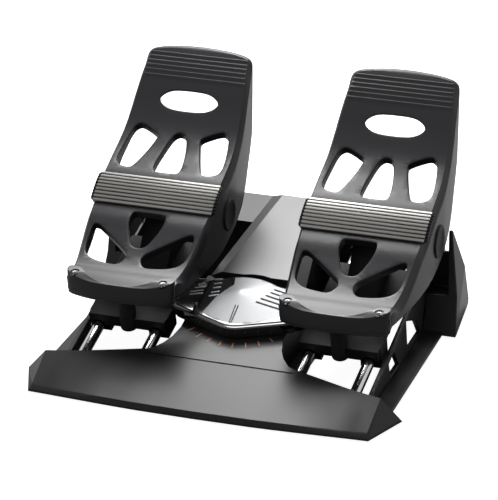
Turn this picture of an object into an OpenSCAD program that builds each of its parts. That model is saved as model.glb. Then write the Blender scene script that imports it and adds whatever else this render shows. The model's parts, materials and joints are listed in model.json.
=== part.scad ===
// Flight simulator rudder pedals: two toe-brake pedals on sliding carriages, joined by a rudder arm.
// Origin on the floor under the middle of the object, +X to the user's right, +Y away from the user, +Z up.

/* [Layout] */
// Distance between the centres of the two pedals
pedal_gap = 232; // [230:1:234]
// Tilt of the slide rails above the floor, in degrees
rail_tilt = 14; // [13.5:0.5:14.5]
// Travel of each pedal along its rails, either way from the middle
slide_travel = 34; // [30:1:34]

/* [Rails and carriages] */
// Distance between the two rails of one carriage
rail_gap = 64; // [62:1:66]
// Diameter of a rail
rail_d = 12; // [10:0.5:12]
// Where a rail starts, along the rails
rail_start = 38; // [38:1:40]
// Where a rail ends, along the rails
rail_end = 334; // [330:1:336]
// Width of a carriage
carriage_w = 84; // [80:1:86]
// Front face of a carriage, along the rails
carriage_front = 122; // [122:1:124]
// Length of a carriage along the rails
carriage_len = 140; // [136:1:142]
// Top of a carriage above the rail axes
carriage_top = 15; // [14:0.5:15]
// Thickness of the carriage deck
deck_t = 8; // [7:0.5:8]
// Width of one bearing housing
housing_w = 22; // [21:1:23]
// Length of one bearing housing
housing_len = 26; // [24:1:28]
// Lowest point of a bearing housing below the rail axes
housing_drop = 10; // [9:0.5:10]
// Height of the carriage's front apron
apron_h = 13; // [12:0.5:13]
// Thickness of the front apron
apron_t = 6; // [5:0.5:7]
// Diameter of the round boss on the front apron
boss_d = 18; // [16:1:19]
// Outer diameter of a slide bush
bush_d = 17; // [16:0.5:17]
// Length of a slide bush
bush_len = 18; // [16:1:20]
// Width of the pedal tower
tower_w = 34; // [30:1:36]
// Length of the tower's foot along the rails
tower_foot = 62; // [60:1:64]

/* [Pedal hinge] */
// Pedal hinge axis, measured along the rails
hinge_s = 266.5; // [265:0.5:268]
// Pedal hinge axis above the rail axes
hinge_n = 56; // [55:0.5:57]
// Diameter of the hinge shaft
shaft_d = 10; // [9:0.5:11]
// Outer diameter of the tower's head round the shaft
tower_head_d = 28; // [26:1:30]
// Diameter of the round cap on the pedal's side
cap_d = 36; // [34:1:37]
// How far the cap stands out of the pedal's side
cap_t = 2; // [1.5:0.5:2]
// Wire of the brake return spring
spring_wire = 1.6; // [1.4:0.1:1.8]
// Turns of the brake return spring
spring_turns = 6; // [5:1:6]

/* [Pedal] */
// Length of a pedal from heel to toe, measured level
pedal_len = 278; // [274:1:280]
// Widest part of a pedal, at the tread band
pedal_w = 140; // [138:1:141]
// Thickness of the pedal's shell
shell_t = 3; // [2.6:0.2:3.2]
// Depth of the rims round the pedal's windows
rim_depth = 9; // [8:0.5:10]
// Thickness of the rims round the windows
rim_t = 2.4; // [2:0.2:2.6]
// Height of the tread band above the pedal's face
band_h = 2.6; // [2:0.2:3]
// Distance between the two heel rest screws
heel_screw_gap = 97; // [96:1:98]
// Head diameter of a heel rest screw
heel_head_d = 6; // [5.5:0.5:6.5]

/* [Rudder arm] */
// Arm pivot, measured along the rails
arm_s = 168; // [167:0.5:169]
// Thickness of the arm
arm_t = 6; // [5:0.5:6]
// Width of the arm across its reach
arm_w = 40; // [36:1:42]
// Underside of the arm above the rail axes
arm_n = 17; // [16.5:0.5:17]
// Outer diameter of the arm's hub
arm_hub_d = 46; // [44:1:48]
// Diameter of the fixed arm post
post_d = 16; // [14:1:18]
// Diameter of the link pin on a carriage
link_d = 10; // [9:0.5:11]
// Half width of the arm cover at its tips
cover_half_w = 72; // [70:1:73]
// Height of the arm cover's rim above the rail axes
cover_rim_n = 26; // [25:0.5:26]
// Height of the silver top above the rim
crown_h = 8; // [7:0.5:8]
// Thickness of the arm cover
cover_t = 2.4; // [2:0.2:2.6]

/* [Casing] */
// Half width of the front casing at its front corners
front_half_w = 182; // [180:1:183]
// Half width of the front casing at its flared rear corners
flare_half_w = 202.6; // [201:0.2:203]
// Wall of the plastic casings
wall = 2.6; // [2.4:0.2:3]
// Half width of the console where it meets the arm cover
console_half_w = 56; // [55:0.5:56]
// Half width of the rear console's foot, at its front
console_foot_half_w = 53; // [52:0.5:54]
// Half width of the rear console's foot, at its rear end
console_rear_half_w = 31; // [30:0.5:32]
// How far the rear console's top is narrower than its foot, on each side
console_bevel = 13.6; // [12:0.2:15]
// Top of the console's front above the rail axes
console_front_n = 12.4; // [12:0.2:12.4]
// Top of the console's rear above the rail axes
console_rear_n = 20; // [19:0.5:20]
// Rear casing's rearmost face, measured from the front edge's corner line
rear_y = 356; // [354:1:357]
// Rear casing's front face, measured in the same way
rear_front_y = 306; // [304:1:307]
// Top of the rear casing above the rail axes
rear_top_n = 10; // [9.5:0.5:10.5]
// How far the rear casing reaches past the outer rails' axes, between its end caps
rear_side = 17; // [16:0.5:18]
// Top of the end caps above the floor
fin_top_z = 118; // [116:1:119]
// Thickness of one floor strap
strap_t = 4; // [3:0.5:5]
// Height of the rubber feet
foot_h = 2; // [1.5:0.5:2]
// Diameter of a round rubber foot
foot_d = 16; // [14:1:18]

/* [Hidden] */
$fn = 48;

// Fits: a running fit, a fixed joint, an open gap, an overlap inside one solid, and an overrun of a cut
fit = 0.05;
seat = 0.02;
clear = 1;
eps = 0.01;
over = 1;
far = pedal_len;

// Placing: the front frame has y = 0 at the front corners, and the rail frame is tilted about its x axis
pedal_x = pedal_gap / 2;
rear_half_w = pedal_x + rail_gap / 2 + rear_side;
hinge_y = hinge_s * cos(rail_tilt) - hinge_n * sin(rail_tilt);
hinge_z = hinge_s * sin(rail_tilt) + hinge_n * cos(rail_tilt);
arm_reach = pedal_x;
module place() { translate([0, -front_edge_y, 0]) children(); }
module on_rails() { place() rotate([rail_tilt, 0, 0]) children(); }
module on_hinge(side) { place() translate([side * pedal_x, hinge_y, hinge_z]) children(); }
// A profile drawn in y and z, drawn out along x from x0 to x1
module along_x(x0, x1) {
    translate([x0, 0, 0]) rotate([90, 0, 90]) linear_extrude(x1 - x0) children();
}
// A plan drawn in x and s, raised along n from n0 to n1
module along_n(n0, n1) { translate([0, 0, n0]) linear_extrude(n1 - n0) children(); }
// A round bar along the rails, from s0 to s1
module bar_s(d, s0, s1) { translate([0, s0, 0]) rotate([-90, 0, 0]) cylinder(d = d, h = s1 - s0); }
// A round bar along x, from x0 to x1
module bar_x(d, x0, x1) { translate([x0, 0, 0]) rotate([0, 90, 0]) cylinder(d = d, h = x1 - x0); }
module box(x0, x1, y0, y1, z0, z1) { translate([x0, y0, z0]) cube([x1 - x0, y1 - y0, z1 - z0]); }
// Level height of the plane that lies n above the rail axes, at y in the front frame
function plane_z(y, n) = (n + y * sin(rail_tilt)) / cos(rail_tilt);

// A solid through sections of the same number of points, each listed clockwise seen from the last one.
// A warped side is split in two, and the two halves of the loft mirror each other.
module loft(sections) {
    count = len(sections);
    ring = len(sections[0]);
    points = [for (one = sections) for (p = one) p];
    sides = [for (i = [0 : count - 2]) for (j = [0 : ring - 1])
        let (a = i * ring + j, b = i * ring + (j + 1) % ring, c = b + ring, d = a + ring)
        let (warp = (points[d] - points[a]) * cross(points[b] - points[a], points[c] - points[a]))
        each abs(warp) < eps ? [[a, b, c, d]]
            : i < (count - 1) / 2 ? [[a, b, c], [a, c, d]] : [[a, b, d], [b, c, d]]];
    first = [for (j = [0 : ring - 1]) ring - 1 - j];
    last = [for (j = [0 : ring - 1]) (count - 1) * ring + j];
    polyhedron(points = points, faces = concat(sides, [first, last]), convexity = 6);
}

// Colours
plastic = "#3a3a3d";
dark_plastic = "#202124";
gloss_black = "#141416";
silver = "#d5d6d8";
band_metal = "#9a948c";
polished = "#c8cacc";
steel = "#8d9094";
brass = "#b5934c";
rubber = "#1a1a1b";
white_plastic = "#dcdcd6";
board_green = "#2f6b46";
tick_orange = "#d9793a";

// Torsion coil along z: straight legs of leg length at both ends, from z0, of an even pitch
coil_sides = 6;
coil_rings = 8;
up = [0, 0, 1];
function radial(a) = [cos(a), sin(a), 0];
function ring_at(c, t, b, r) = [for (k = [0 : coil_sides - 1])
    c + r * (cos(k * 360 / coil_sides) * t + sin(k * 360 / coil_sides) * b)];
module coil(r, wire, turns, pitch, leg) {
    steps = coil_rings * turns;
    body = [for (i = [0 : steps]) let (a = i * 360 / coil_rings)
        ring_at(r * radial(a) + up * (pitch * a / 360), radial(a), up, wire / 2)];
    start = ring_at(r * radial(0) - leg * [0, 1, 0], radial(0), up, wire / 2);
    a_end = steps * 360 / coil_rings;
    end = ring_at(r * radial(a_end) + up * (pitch * turns) + leg * [-sin(a_end), cos(a_end), 0],
        radial(a_end), up, wire / 2);
    pairs = [for (i = [0 : steps - coil_rings]) norm(body[i + coil_rings][0] - body[i][0]) - wire];
    echo("least gap of a coil to itself", min(pairs));
    loft(concat([start], body, [end]));
}

// Pedal outlines, as shares of the pedal's length from the hinge axis: y along the floor, z up
face_shares = [
    [-0.577, -0.104], [-0.502, -0.085], [-0.448, -0.078], [-0.394, -0.0615], [-0.34, -0.036],
    [-0.286, -0.002], [-0.232, 0.034], [-0.176, 0.061], [-0.116, 0.1], [-0.057, 0.138],
    [-0.0054, 0.16], [0.041, 0.18], [0.088, 0.202], [0.131, 0.227], [0.165, 0.25], [0.196, 0.277],
    [0.243, 0.327], [0.29, 0.385], [0.336, 0.4385], [0.383, 0.482], [0.43, 0.515]
];
// The lid behind the toe's crest, then the skirt's rear and lower edge
lid_shares = [[0.383, 0.482], [0.418, 0.492], [0.441, 0.488], [0.455, 0.47]];
skirt_shares = [
    [0.44, 0.306], [0.38, 0.173], [0.311, 0.09], [0.232, 0], [0.178, -0.04],
    [0.063, -0.081], [-0.077, -0.121], [-0.203, -0.134], [-0.34, -0.137], [-0.505, -0.14]
];
// Lower edge of the left wall, which is cut back in front of the hinge boss and behind it
left_edge_shares = [
    [-0.34, -0.137], [-0.27, -0.125], [-0.2, -0.095], [-0.13, -0.054], [-0.088, -0.048], [-0.066, -0.075],
    [-0.055, -0.1], [0, -0.1], [0.05, -0.088], [0.062, -0.06], [0.075, 0.01], [0.09, 0.06], [0.12, 0.102],
    [0.2, 0.155], [0.28, 0.2], [0.335, 0.205], [0.365, 0.175], [0.38, 0.173]
];
left_cut_share = 0.78;
toe_shares = [[0.383, 0.482], [0.43, 0.515], [0.436, 0.5], [0.441, 0.488], [0.418, 0.486], [0.383, 0.475]];
// Half width of the pedal in plan: y as a share of its length, then a share of its half width
side_shares = [
    [-0.505, 0.86], [-0.46, 0.88], [-0.378, 0.92], [-0.288, 0.957], [-0.18, 0.985], [-0.068, 1],
    [0.068, 1], [0.126, 0.985], [0.237, 0.945], [0.32, 0.9]
];
face_plan_shares = concat(side_shares,
    [[0.385, 0.862], [0.404, 0.83], [0.416, 0.7], [0.425, 0.42], [0.43, 0]]);
skirt_plan_shares = concat(side_shares, [[0.385, 0.868], [0.425, 0.86], [0.443, 0.84], [0.451, 0.78],
    [0.455, 0.6], [0.456, 0]]);
open_front_share = -0.7;
front_half_share = 0.86;
skirt_end_share = 0.456;
tongue_shares = [[-0.555, 0.5], [-0.54, 0.7], [-0.505, 0.74], [-0.46, 0.74]];
// The heel rest in plan, then in section
heel_plan_shares = [
    [-0.579, 0], [-0.577, 0.36], [-0.566, 0.56], [-0.552, 0.74], [-0.538, 0.82], [-0.506, 0.86]
];
heel_inner_shares = [[-0.543, 0], [-0.541, 0.2], [-0.525, 0.38], [-0.5, 0.5], [-0.474, 0.56], [-0.44, 0.56]];
heel_section_shares = [
    [-0.585, -0.19], [-0.585, -0.1], [-0.579, -0.098], [-0.5505, -0.069], [-0.475, -0.064], [-0.47, -0.19]
];
heel_screw_share = -0.54;
heel_floor_share = -0.165;
heel_room_share = -0.44;
pedal_half_w = pedal_w / 2;
function to_len(shares) = [for (p = shares) p * pedal_len];
function plan_half(shares, inset) =
    [for (p = shares) [max(p[1] * pedal_half_w - inset, 0), p[0] * pedal_len]];
function mirrored(half) = concat(half, [for (i = [len(half) - 1 : -1 : 0]) [-half[i][0], half[i][1]]]);
function unit(v) = v / norm(v);
// The line moved by d to its lower right, point by point
function moved(line, d) = [for (i = [0 : len(line) - 1])
    let (a = line[max(i - 1, 0)], b = line[min(i + 1, len(line) - 1)], t = unit(b - a))
    line[i] + d * [t[1], -t[0]]];
function backwards(line) = [for (i = [len(line) - 1 : -1 : 0]) line[i]];
face_line = to_len(face_shares);
// Solid between the face line moved by d0 and by d1, over the pedal's whole width
module face_layer(d0, d1) {
    along_x(-far, far) polygon(concat(moved(face_line, d0), backwards(moved(face_line, d1))));
}
module plan_prism(half) {
    translate([0, 0, -far]) linear_extrude(2 * far) polygon(mirrored(half));
}
module pedal_outline() { plan_prism(plan_half(face_plan_shares, 0)); }
module skirt_outline() { plan_prism(plan_half(skirt_plan_shares, 0)); }
lid_line = to_len(lid_shares);
face_to_lid = [for (i = [0 : len(face_line) - 3]) face_line[i]];
module side_outline() { along_x(-far, far) polygon(concat(face_to_lid, lid_line, to_len(skirt_shares))); }
module left_cut() {
    along_x(-far, -left_cut_share * pedal_half_w)
        polygon(concat(to_len(left_edge_shares), [[far, -far], [-far, -far]]));
}
// The space under the face, inside the skirt's walls
module skirt_room() {
    intersection() {
        plan_prism(plan_half(concat([[open_front_share, front_half_share]], skirt_plan_shares), shell_t));
        box(-far, far, -far, skirt_end_share * pedal_len - shell_t, -far, far);
    }
}

// Windows: half outlines in x and y, as shares of the pedal's length from the hinge
mid_window_shares = [
    [0.018, 0.162], [0.036, 0.126], [0.05, 0.061], [0.056, 0.003], [0.05, -0.018], [0.04, -0.025]
];
outer_window_shares = [
    [0.09, 0.152], [0.165, 0.184], [0.186, 0.175], [0.199, 0.156], [0.212, 0.076], [0.215, 0.018],
    [0.2, -0.008], [0.158, -0.018], [0.138, -0.008], [0.108, 0.072], [0.087, 0.137]
];
low_mid_window_shares = [
    [0.06, -0.196], [0.068, -0.205], [0.071, -0.246], [0.041, -0.312], [0.026, -0.331], [0.012, -0.337]
];
low_outer_window_shares = [
    [0.194, -0.262], [0.203, -0.268], [0.206, -0.288], [0.204, -0.36], [0.187, -0.392], [0.148, -0.416],
    [0.068, -0.428], [0.048, -0.42], [0.031, -0.391], [0.033, -0.371], [0.045, -0.352], [0.17, -0.27]
];
lens_window_shares = [
    [0.04, 0.29], [0.088, 0.278], [0.114, 0.262], [0.119, 0.253], [0.1, 0.236], [0.05, 0.226]
];
low_point_shares = [-0.4, -0.064];
low_slope = 26;
high_point_shares = [-0.005, 0.16];
high_slope = 25;
lens_point_shares = [0.243, 0.327];
lens_slope = 51;
// A prism square to the face through a window outline, from depth above the face to depth below it
module window_prism(outline, point, slope, grow, up, down) {
    flat = [for (p = outline) [p[0] * pedal_len, (p[1] - point[0]) * pedal_len / cos(slope)]];
    centre = [for (k = [0, 1]) (max([for (p = flat) p[k]]) + min([for (p = flat) p[k]])) / 2];
    half = [for (k = [0, 1]) (max([for (p = flat) p[k]]) - min([for (p = flat) p[k]])) / 2];
    grown = [for (p = flat) [for (k = [0, 1]) centre[k] + (p[k] - centre[k]) * (half[k] + grow) / half[k]]];
    translate([0, point[0] * pedal_len, point[1] * pedal_len]) rotate([slope, 0, 0])
        translate([0, 0, -down]) linear_extrude(up + down) polygon(grown);
}
prism_up = 30;
module windows(grow, down) {
    window_prism(mirrored(mid_window_shares), high_point_shares, high_slope, grow, prism_up, down);
    window_prism(mirrored(low_mid_window_shares), low_point_shares, low_slope, grow, prism_up, down);
    window_prism(mirrored(lens_window_shares), lens_point_shares, lens_slope, grow, prism_up, down);
    for (side = [0, 1]) mirror([side, 0, 0]) {
        window_prism(outer_window_shares, high_point_shares, high_slope, grow, prism_up, down);
        window_prism(low_outer_window_shares, low_point_shares, low_slope, grow, prism_up, down);
    }
}
hinge_boss_d = 24;
hinge_boss_len = 12;
window_reach = 60;
module pedal_shell() {
    color(plastic) difference() {
        union() {
            intersection() {
                side_outline();
                difference() {
                    skirt_outline();
                    skirt_room();
                    left_cut();
                }
            }
            intersection() {
                along_x(-far, far) polygon(concat(lid_line, backwards(moved(lid_line, shell_t))));
                skirt_outline();
            }
            intersection() {
                along_x(-far, far) polygon(to_len(toe_shares));
                pedal_outline();
            }
            intersection() {
                face_layer(0, shell_t);
                union() {
                    pedal_outline();
                    plan_prism(plan_half(tongue_shares, 0));
                }
            }
            intersection() {
                face_layer(0, rim_depth);
                windows(rim_t, window_reach);
                pedal_outline();
            }
            for (side = [0, 1]) mirror([side, 0, 0])
                bar_x(hinge_boss_d, pedal_half_w - hinge_boss_len, pedal_half_w - eps);
        }
        windows(0, window_reach);
        bar_x(shaft_d + 2 * fit, -far, far);
        for (side = [-1, 1]) heel_screw_axis(side)
            cylinder(d = heel_bolt_d, h = 2 * heel_bolt_len, center = true);
    }
}
// The heel rest screws stand square to the floor
heel_bolt_d = 3;
heel_bolt_len = 9;
heel_head_h = 2.6;
heel_head_share = -0.0633;
module heel_screw_axis(side) {
    translate([side * heel_screw_gap / 2, heel_screw_share * pedal_len, heel_head_share * pedal_len])
        children();
}
module heel_rest() {
    color(plastic) difference() {
        intersection() {
            plan_prism(plan_half(heel_plan_shares, 0));
            along_x(-far, far) polygon(to_len(heel_section_shares));
        }
        intersection() {
            plan_prism(plan_half(concat(heel_plan_shares, [[heel_room_share, front_half_share]]), shell_t));
            along_x(-far, far) polygon(concat(moved(face_line, -seat), [[far, -far], [-far, -far]]));
            box(-far, far, heel_plan_shares[0][0] * pedal_len + shell_t, far, -far, far);
        }
        plan_prism(plan_half(heel_inner_shares, 0));
        box(-far, far, -far, far, -far, heel_floor_share * pedal_len);
        for (side = [-1, 1]) heel_screw_axis(side) {
            translate([0, 0, -heel_head_h]) cylinder(d = heel_head_d + 2 * fit, h = far);
            cylinder(d = heel_bolt_d + 2 * fit, h = 2 * heel_bolt_len, center = true);
        }
    }
}
socket_d = 3;
socket_depth = 1.6;
module heel_screws() {
    color(steel) for (side = [-1, 1]) heel_screw_axis(side) difference() {
        union() {
            translate([0, 0, -heel_head_h]) cylinder(d = heel_head_d, h = heel_head_h);
            translate([0, 0, -heel_bolt_len]) cylinder(d = heel_bolt_d, h = heel_bolt_len);
        }
        translate([0, 0, -socket_depth]) cylinder(d = socket_d, h = heel_head_h, $fn = 6);
    }
}
// The tread band bulges between its two edges and has grooves across
band_from_share = -0.176;
band_to_share = -0.057;
band_half = (band_to_share - band_from_share) / 2 * pedal_len;
band_ribs = 9;
band_bulge = 2.4;
groove_depth = 1.4;
groove_share = 0.3;
band_edge_shares = [0.061, 0.138];
band_edge_z = band_edge_shares * pedal_len;
band_slope = atan2(band_edge_z[1] - band_edge_z[0], 2 * band_half);
band_len = 2 * band_half / cos(band_slope);
function band_top(t) = band_h + band_bulge * (1 - (2 * t - 1) * (2 * t - 1));
band_profile = [for (i = [0 : band_ribs - 1])
    let (t0 = i / band_ribs, t1 = (i + 1 - groove_share) / band_ribs, t2 = (i + 1) / band_ribs)
    each [[t0, band_top(t0)], [t1, band_top(t1)], [t1, band_top(t1) - groove_depth],
        [t2, band_top(t2) - groove_depth]]];
module tread_band() {
    color(band_metal) difference() {
        intersection() {
            translate([0, band_from_share * pedal_len, band_edge_z[0]]) rotate([band_slope, 0, 0])
                along_x(-far, far) polygon(concat([[0, -band_bulge]],
                    [for (p = band_profile) [p[0] * band_len, p[1]]], [[band_len, -band_bulge]]));
            pedal_outline();
        }
        along_x(-far, far) polygon(concat(moved(face_line, -seat), [[far, -far], [-far, -far]]));
    }
}
spigot = 1.6;
module hinge_caps() {
    color(plastic) for (side = [0, 1]) mirror([side, 0, 0]) {
        bar_x(cap_d, pedal_half_w + seat, pedal_half_w + cap_t);
        bar_x(shaft_d, pedal_half_w - spigot, pedal_half_w + cap_t);
    }
}

// Carriage parts: drawn in the rail frame with x = 0 at the carriage's middle
module on_carriage(side) { translate([side * pedal_x, 0, 0]) children(); }
rail_clear = 1.5;
module carriage() {
    half = carriage_w / 2;
    back = carriage_front + carriage_len;
    housing_in = carriage_front + apron_t;
    color(dark_plastic) difference() {
        union() {
            box(-half, half, carriage_front, back, carriage_top - deck_t, carriage_top);
            box(-half, half, carriage_front, carriage_front + apron_t, carriage_top - apron_h, carriage_top);
            for (side = [-1, 1]) for (s0 = [housing_in, back - housing_len])
                translate([side * rail_gap / 2 - housing_w / 2, 0, 0])
                    box(0, housing_w, s0, s0 + housing_len, -housing_drop, carriage_top - eps);
        }
        for (side = [-1, 1]) translate([side * rail_gap / 2, 0, 0]) {
            bar_s(rail_d + 2 * rail_clear, carriage_front - over, back + over);
            for (s0 = [housing_in, back - housing_len])
                bar_s(bush_d, s0 + (housing_len - bush_len) / 2, s0 + (housing_len + bush_len) / 2);
        }
        translate([0, arm_s, 0]) cylinder(d = link_d, h = carriage_top + over);
        translate([0, stop_s, -far]) cylinder(d = boss_d, h = 2 * far);
    }
}
module slide_bushes() {
    back = carriage_front + carriage_len;
    color(white_plastic) for (side = [-1, 1]) for (s0 = [carriage_front + apron_t, back - housing_len])
        translate([side * rail_gap / 2, 0, 0]) difference() {
            bar_s(bush_d - 2 * seat, s0 + (housing_len - bush_len) / 2, s0 + (housing_len + bush_len) / 2);
            bar_s(rail_d + 2 * fit, s0, s0 + housing_len);
        }
}
link_top = 24;
module link_pin() {
    pin_bottom = carriage_top - deck_t;
    color(steel) translate([0, arm_s, pin_bottom])
        cylinder(d = link_d - 2 * seat, h = link_top - pin_bottom);
}
tower_front = carriage_front + carriage_len - tower_foot;
tower_neck = 250;
tower_neck_n = 62;
tower_back_n = 46;
neck_angle = 45;
module pedal_tower() {
    half = tower_w / 2;
    back = carriage_front + carriage_len;
    color(dark_plastic) difference() {
        union() {
            along_x(-half, half) polygon([
                [tower_front, carriage_top + seat], [back, carriage_top + seat],
                [hinge_s + tower_head_d / 2 * cos(neck_angle), tower_back_n],
                [hinge_s, hinge_n], [tower_neck, tower_neck_n]
            ]);
            translate([0, hinge_s, hinge_n]) bar_x(tower_head_d, -half, half);
        }
        translate([0, hinge_s, hinge_n]) bar_x(shaft_d + 2 * seat, -far, far);
    }
}
shaft_short = 2;
module hinge_shaft() {
    reach = pedal_half_w - shaft_short;
    color(steel) translate([0, hinge_s, hinge_n]) bar_x(shaft_d, -reach, reach);
}
spring_gap = 0.5;
spring_r = 8;
spring_leg = 14;
module brake_spring() {
    start = tower_w / 2 + spring_wire / 2 + seat;
    color(steel) translate([start, hinge_s, hinge_n]) rotate([0, 90, 0]) rotate([0, 0, 90])
        coil(spring_r, spring_wire, spring_turns, spring_wire + spring_gap, spring_leg);
}
sensor_d = 20;
sensor_len = 10;
module brake_sensor() {
    color(dark_plastic) translate([0, hinge_s, hinge_n]) difference() {
        bar_x(sensor_d, -tower_w / 2 - sensor_len, -tower_w / 2 - seat);
        bar_x(shaft_d + 2 * fit, -far, far);
    }
}
stop_s = 127;
stop_top = 61;
stop_bottom = -1;
module brake_stop() {
    color(rubber) translate([0, stop_s, stop_bottom])
        cylinder(d = boss_d - 2 * seat, h = stop_top - stop_bottom);
}

// Rudder arm
arm_top = arm_n + arm_t;
arm_end = 14;
arm_slim_w = 26.6;
fork_flare_share = 0.2;
fork_play = 0.15;
fork_half = link_d / 2 + fork_play;
bush_wall = 4;
module arm_outline() {
    circle(d = arm_hub_d);
    reach = arm_reach + arm_end;
    wide = arm_w / 2;
    slim = arm_slim_w / 2;
    right = [[0, -wide], [cover_half_w, -slim], [reach, -slim], [reach, slim], [cover_half_w, slim]];
    polygon(concat(right, [for (p = right) -p]));
}
module fork_slots() {
    inner = arm_reach - link_d / 2 - fork_play;
    outer = arm_reach + arm_end + over;
    flared = fork_half + fork_flare_share * (outer - arm_reach);
    for (side = [0, 1]) mirror([side, 0, 0])
        polygon([[inner, -fork_half], [arm_reach, -fork_half], [outer, -flared], [outer, flared],
            [arm_reach, fork_half], [inner, fork_half]]);
}
module rudder_arm() {
    color(dark_plastic) translate([0, arm_s, 0]) difference() {
        along_n(arm_n, arm_top) arm_outline();
        along_n(arm_n - over, arm_top + over) fork_slots();
        translate([0, 0, arm_n - over]) cylinder(d = post_d + 2 * bush_wall, h = arm_t + 2 * over);
    }
}
module arm_bush() {
    color(brass) translate([0, arm_s, arm_n]) difference() {
        cylinder(d = post_d + 2 * bush_wall - 2 * seat, h = arm_t);
        translate([0, 0, -over]) cylinder(d = post_d + 2 * fit, h = arm_t + 2 * over);
    }
}
// The cover in plan, half outline, as shares of its half width from the arm pivot
cover_shares = [
    [0, -0.735], [0.1, -0.725], [0.25, -0.67], [0.97, -0.4], [1, -0.36], [0.95, 0.26], [0.9, 0.31],
    [0.42, 0.36], [0.36, 0.4], [0.2, 0.46], [0, 0.48]
];
cover_gap = 1.1;
// The cover's tips are cut away below where they turn over the carriages
tip_gap = 0.4;
carriage_reach = max(carriage_w, rail_gap + housing_w) / 2;
module cover_outline(inset) {
    polygon(mirrored([for (p = cover_shares) let (r = norm(p) * cover_half_w)
        p * cover_half_w * (r - inset) / r]));
}
nut_room_d = 34;
module arm_cover() {
    bottom = console_front_n + cover_gap;
    color(gloss_black) translate([0, arm_s, 0]) difference() {
        along_n(bottom, cover_rim_n) cover_outline(0);
        along_n(bottom - over, arm_top + seat) cover_outline(cover_t);
        along_n(arm_n - seat, arm_top + seat) arm_outline();
        translate([0, 0, arm_n]) cylinder(d = nut_room_d, h = far);
        difference() {
            along_n(bottom - over, carriage_top + tip_gap) cover_outline(-over);
            along_n(-far, far) circle(r = pedal_x - carriage_reach - tip_gap);
        }
    }
}
crown_inset = 4;
crown_top_d = 50;
crown_room = 4;
crown_room_d = 32;
crown_lip = 0.6;
crown_wing_share = 0.84;
module arm_plate() {
    color(silver) translate([0, arm_s, 0]) difference() {
        union() {
            along_n(cover_rim_n + seat, cover_rim_n + crown_lip) cover_outline(crown_inset);
            hull($fn = 32) {
                along_n(cover_rim_n + seat, cover_rim_n + crown_lip)
                    scale([crown_wing_share, 1]) cover_outline(crown_inset);
                translate([0, 0, cover_rim_n + crown_h - crown_lip])
                    cylinder(d = crown_top_d, h = crown_lip);
            }
        }
        translate([0, 0, cover_rim_n - over]) cylinder(d = crown_room_d, h = crown_room + over);
    }
}

// Base parts
base_z = foot_h;
module above_floor(z) { box(-far, far, -far, 2 * far, z, far); }
// Front casing sections, from the middle out: half width, then y of the front corner, front top and crest,
// and the heights of the front top and the crest, all as shares of the front half width
bar_shares = [
    [0, -0.044, -0.036, 0.5, 0.055, 0.19], [0.33, -0.04, -0.031, 0.47, 0.055, 0.183],
    [0.43, -0.036, -0.026, 0.425, 0.0545, 0.172], [0.59, -0.027, -0.016, 0.38, 0.053, 0.162],
    [0.8, -0.013, 0.006, 0.31, 0.0505, 0.155], [0.9, -0.006, 0.019, 0.285, 0.0485, 0.152]
];
function bar_floor(inset) = base_z - abs(inset) / 2;
function bar_section(p, side, inset) = let (w = front_half_w)
    [[side * p[0] * w, p[1] * w + inset, bar_floor(inset)],
        [side * p[0] * w, p[2] * w + inset, p[4] * w - inset],
        [side * p[0] * w, p[3] * w - inset, p[5] * w - inset],
        [side * p[0] * w, p[3] * w + wall - inset, bar_floor(inset)]];
// The bar's end: y and height of its front top and of its crest, then y of its rear foot
end_top_shares = [0.032, 0.047];
end_crest_shares = [0.261, 0.151];
end_foot_share = 0.293;
function bar_end(side, inset) = let (w = front_half_w)
    [[side * (w - inset), inset, bar_floor(inset)],
        [side * (w - wall - inset), end_top_shares[0] * w + inset, end_top_shares[1] * w - inset],
        [side * (w - wall / 2 - inset), end_crest_shares[0] * w - inset, end_crest_shares[1] * w - inset],
        [side * (flare_half_w - inset), end_foot_share * w - inset, bar_floor(inset)]];
// The origin lies under the middle of the object, between the front bow and the toe ends or the cable gland
gland_len = 9;
front_bow = -bar_shares[0][1] * front_half_w;
toe_end_y = hinge_y + max([for (p = lid_shares) p[0]]) * pedal_len;
front_edge_y = (max(toe_end_y, rear_y + gland_len - wall) - front_bow) / 2;
module front_bar(inset) {
    last = len(bar_shares) - 1;
    loft(concat([bar_end(-1, inset)], [for (i = [last : -1 : 1]) bar_section(bar_shares[i], -1, inset)],
        [for (i = [0 : last]) bar_section(bar_shares[i], 1, inset)], [bar_end(1, inset)]));
}
// The console's front in plan: half width, then s, as shares of its half width
console_shares = [[1.45, 1.35], [1.3, 1.52], [1.16, 1.7], [1.06, 1.92], [1, 2.2]];
console_step_s = 213.5;
module console_front(inset) {
    w = console_half_w;
    half = [for (p = console_shares) [p[0] * w - inset, p[1] * w]];
    intersection() {
        on_rails_flat() along_n(-far, console_front_n - inset)
            polygon(mirrored(concat(half, [[w - inset, console_step_s - seat - inset]])));
        above_floor(base_z - inset);
    }
}
module on_rails_flat() { rotate([rail_tilt, 0, 0]) children(); }
post_clear = 2;
module rail_holes(d) {
    on_rails_flat() for (side = [-1, 1]) for (k = [-1, 1])
        translate([side * pedal_x + k * rail_gap / 2, 0, 0]) bar_s(d, rail_start - over, rail_end + over);
}
module front_casing() {
    color(plastic) place() difference() {
        intersection() {
            union() {
                front_bar(0);
                console_front(0);
            }
            above_floor(pan_top + seat);
        }
        front_bar(wall);
        console_front(wall);
        rail_holes(rail_d + 2 * clear);
        on_rails_flat() translate([0, arm_s, 0]) cylinder(d = post_d + 2 * post_clear, h = far);
    }
}
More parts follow.
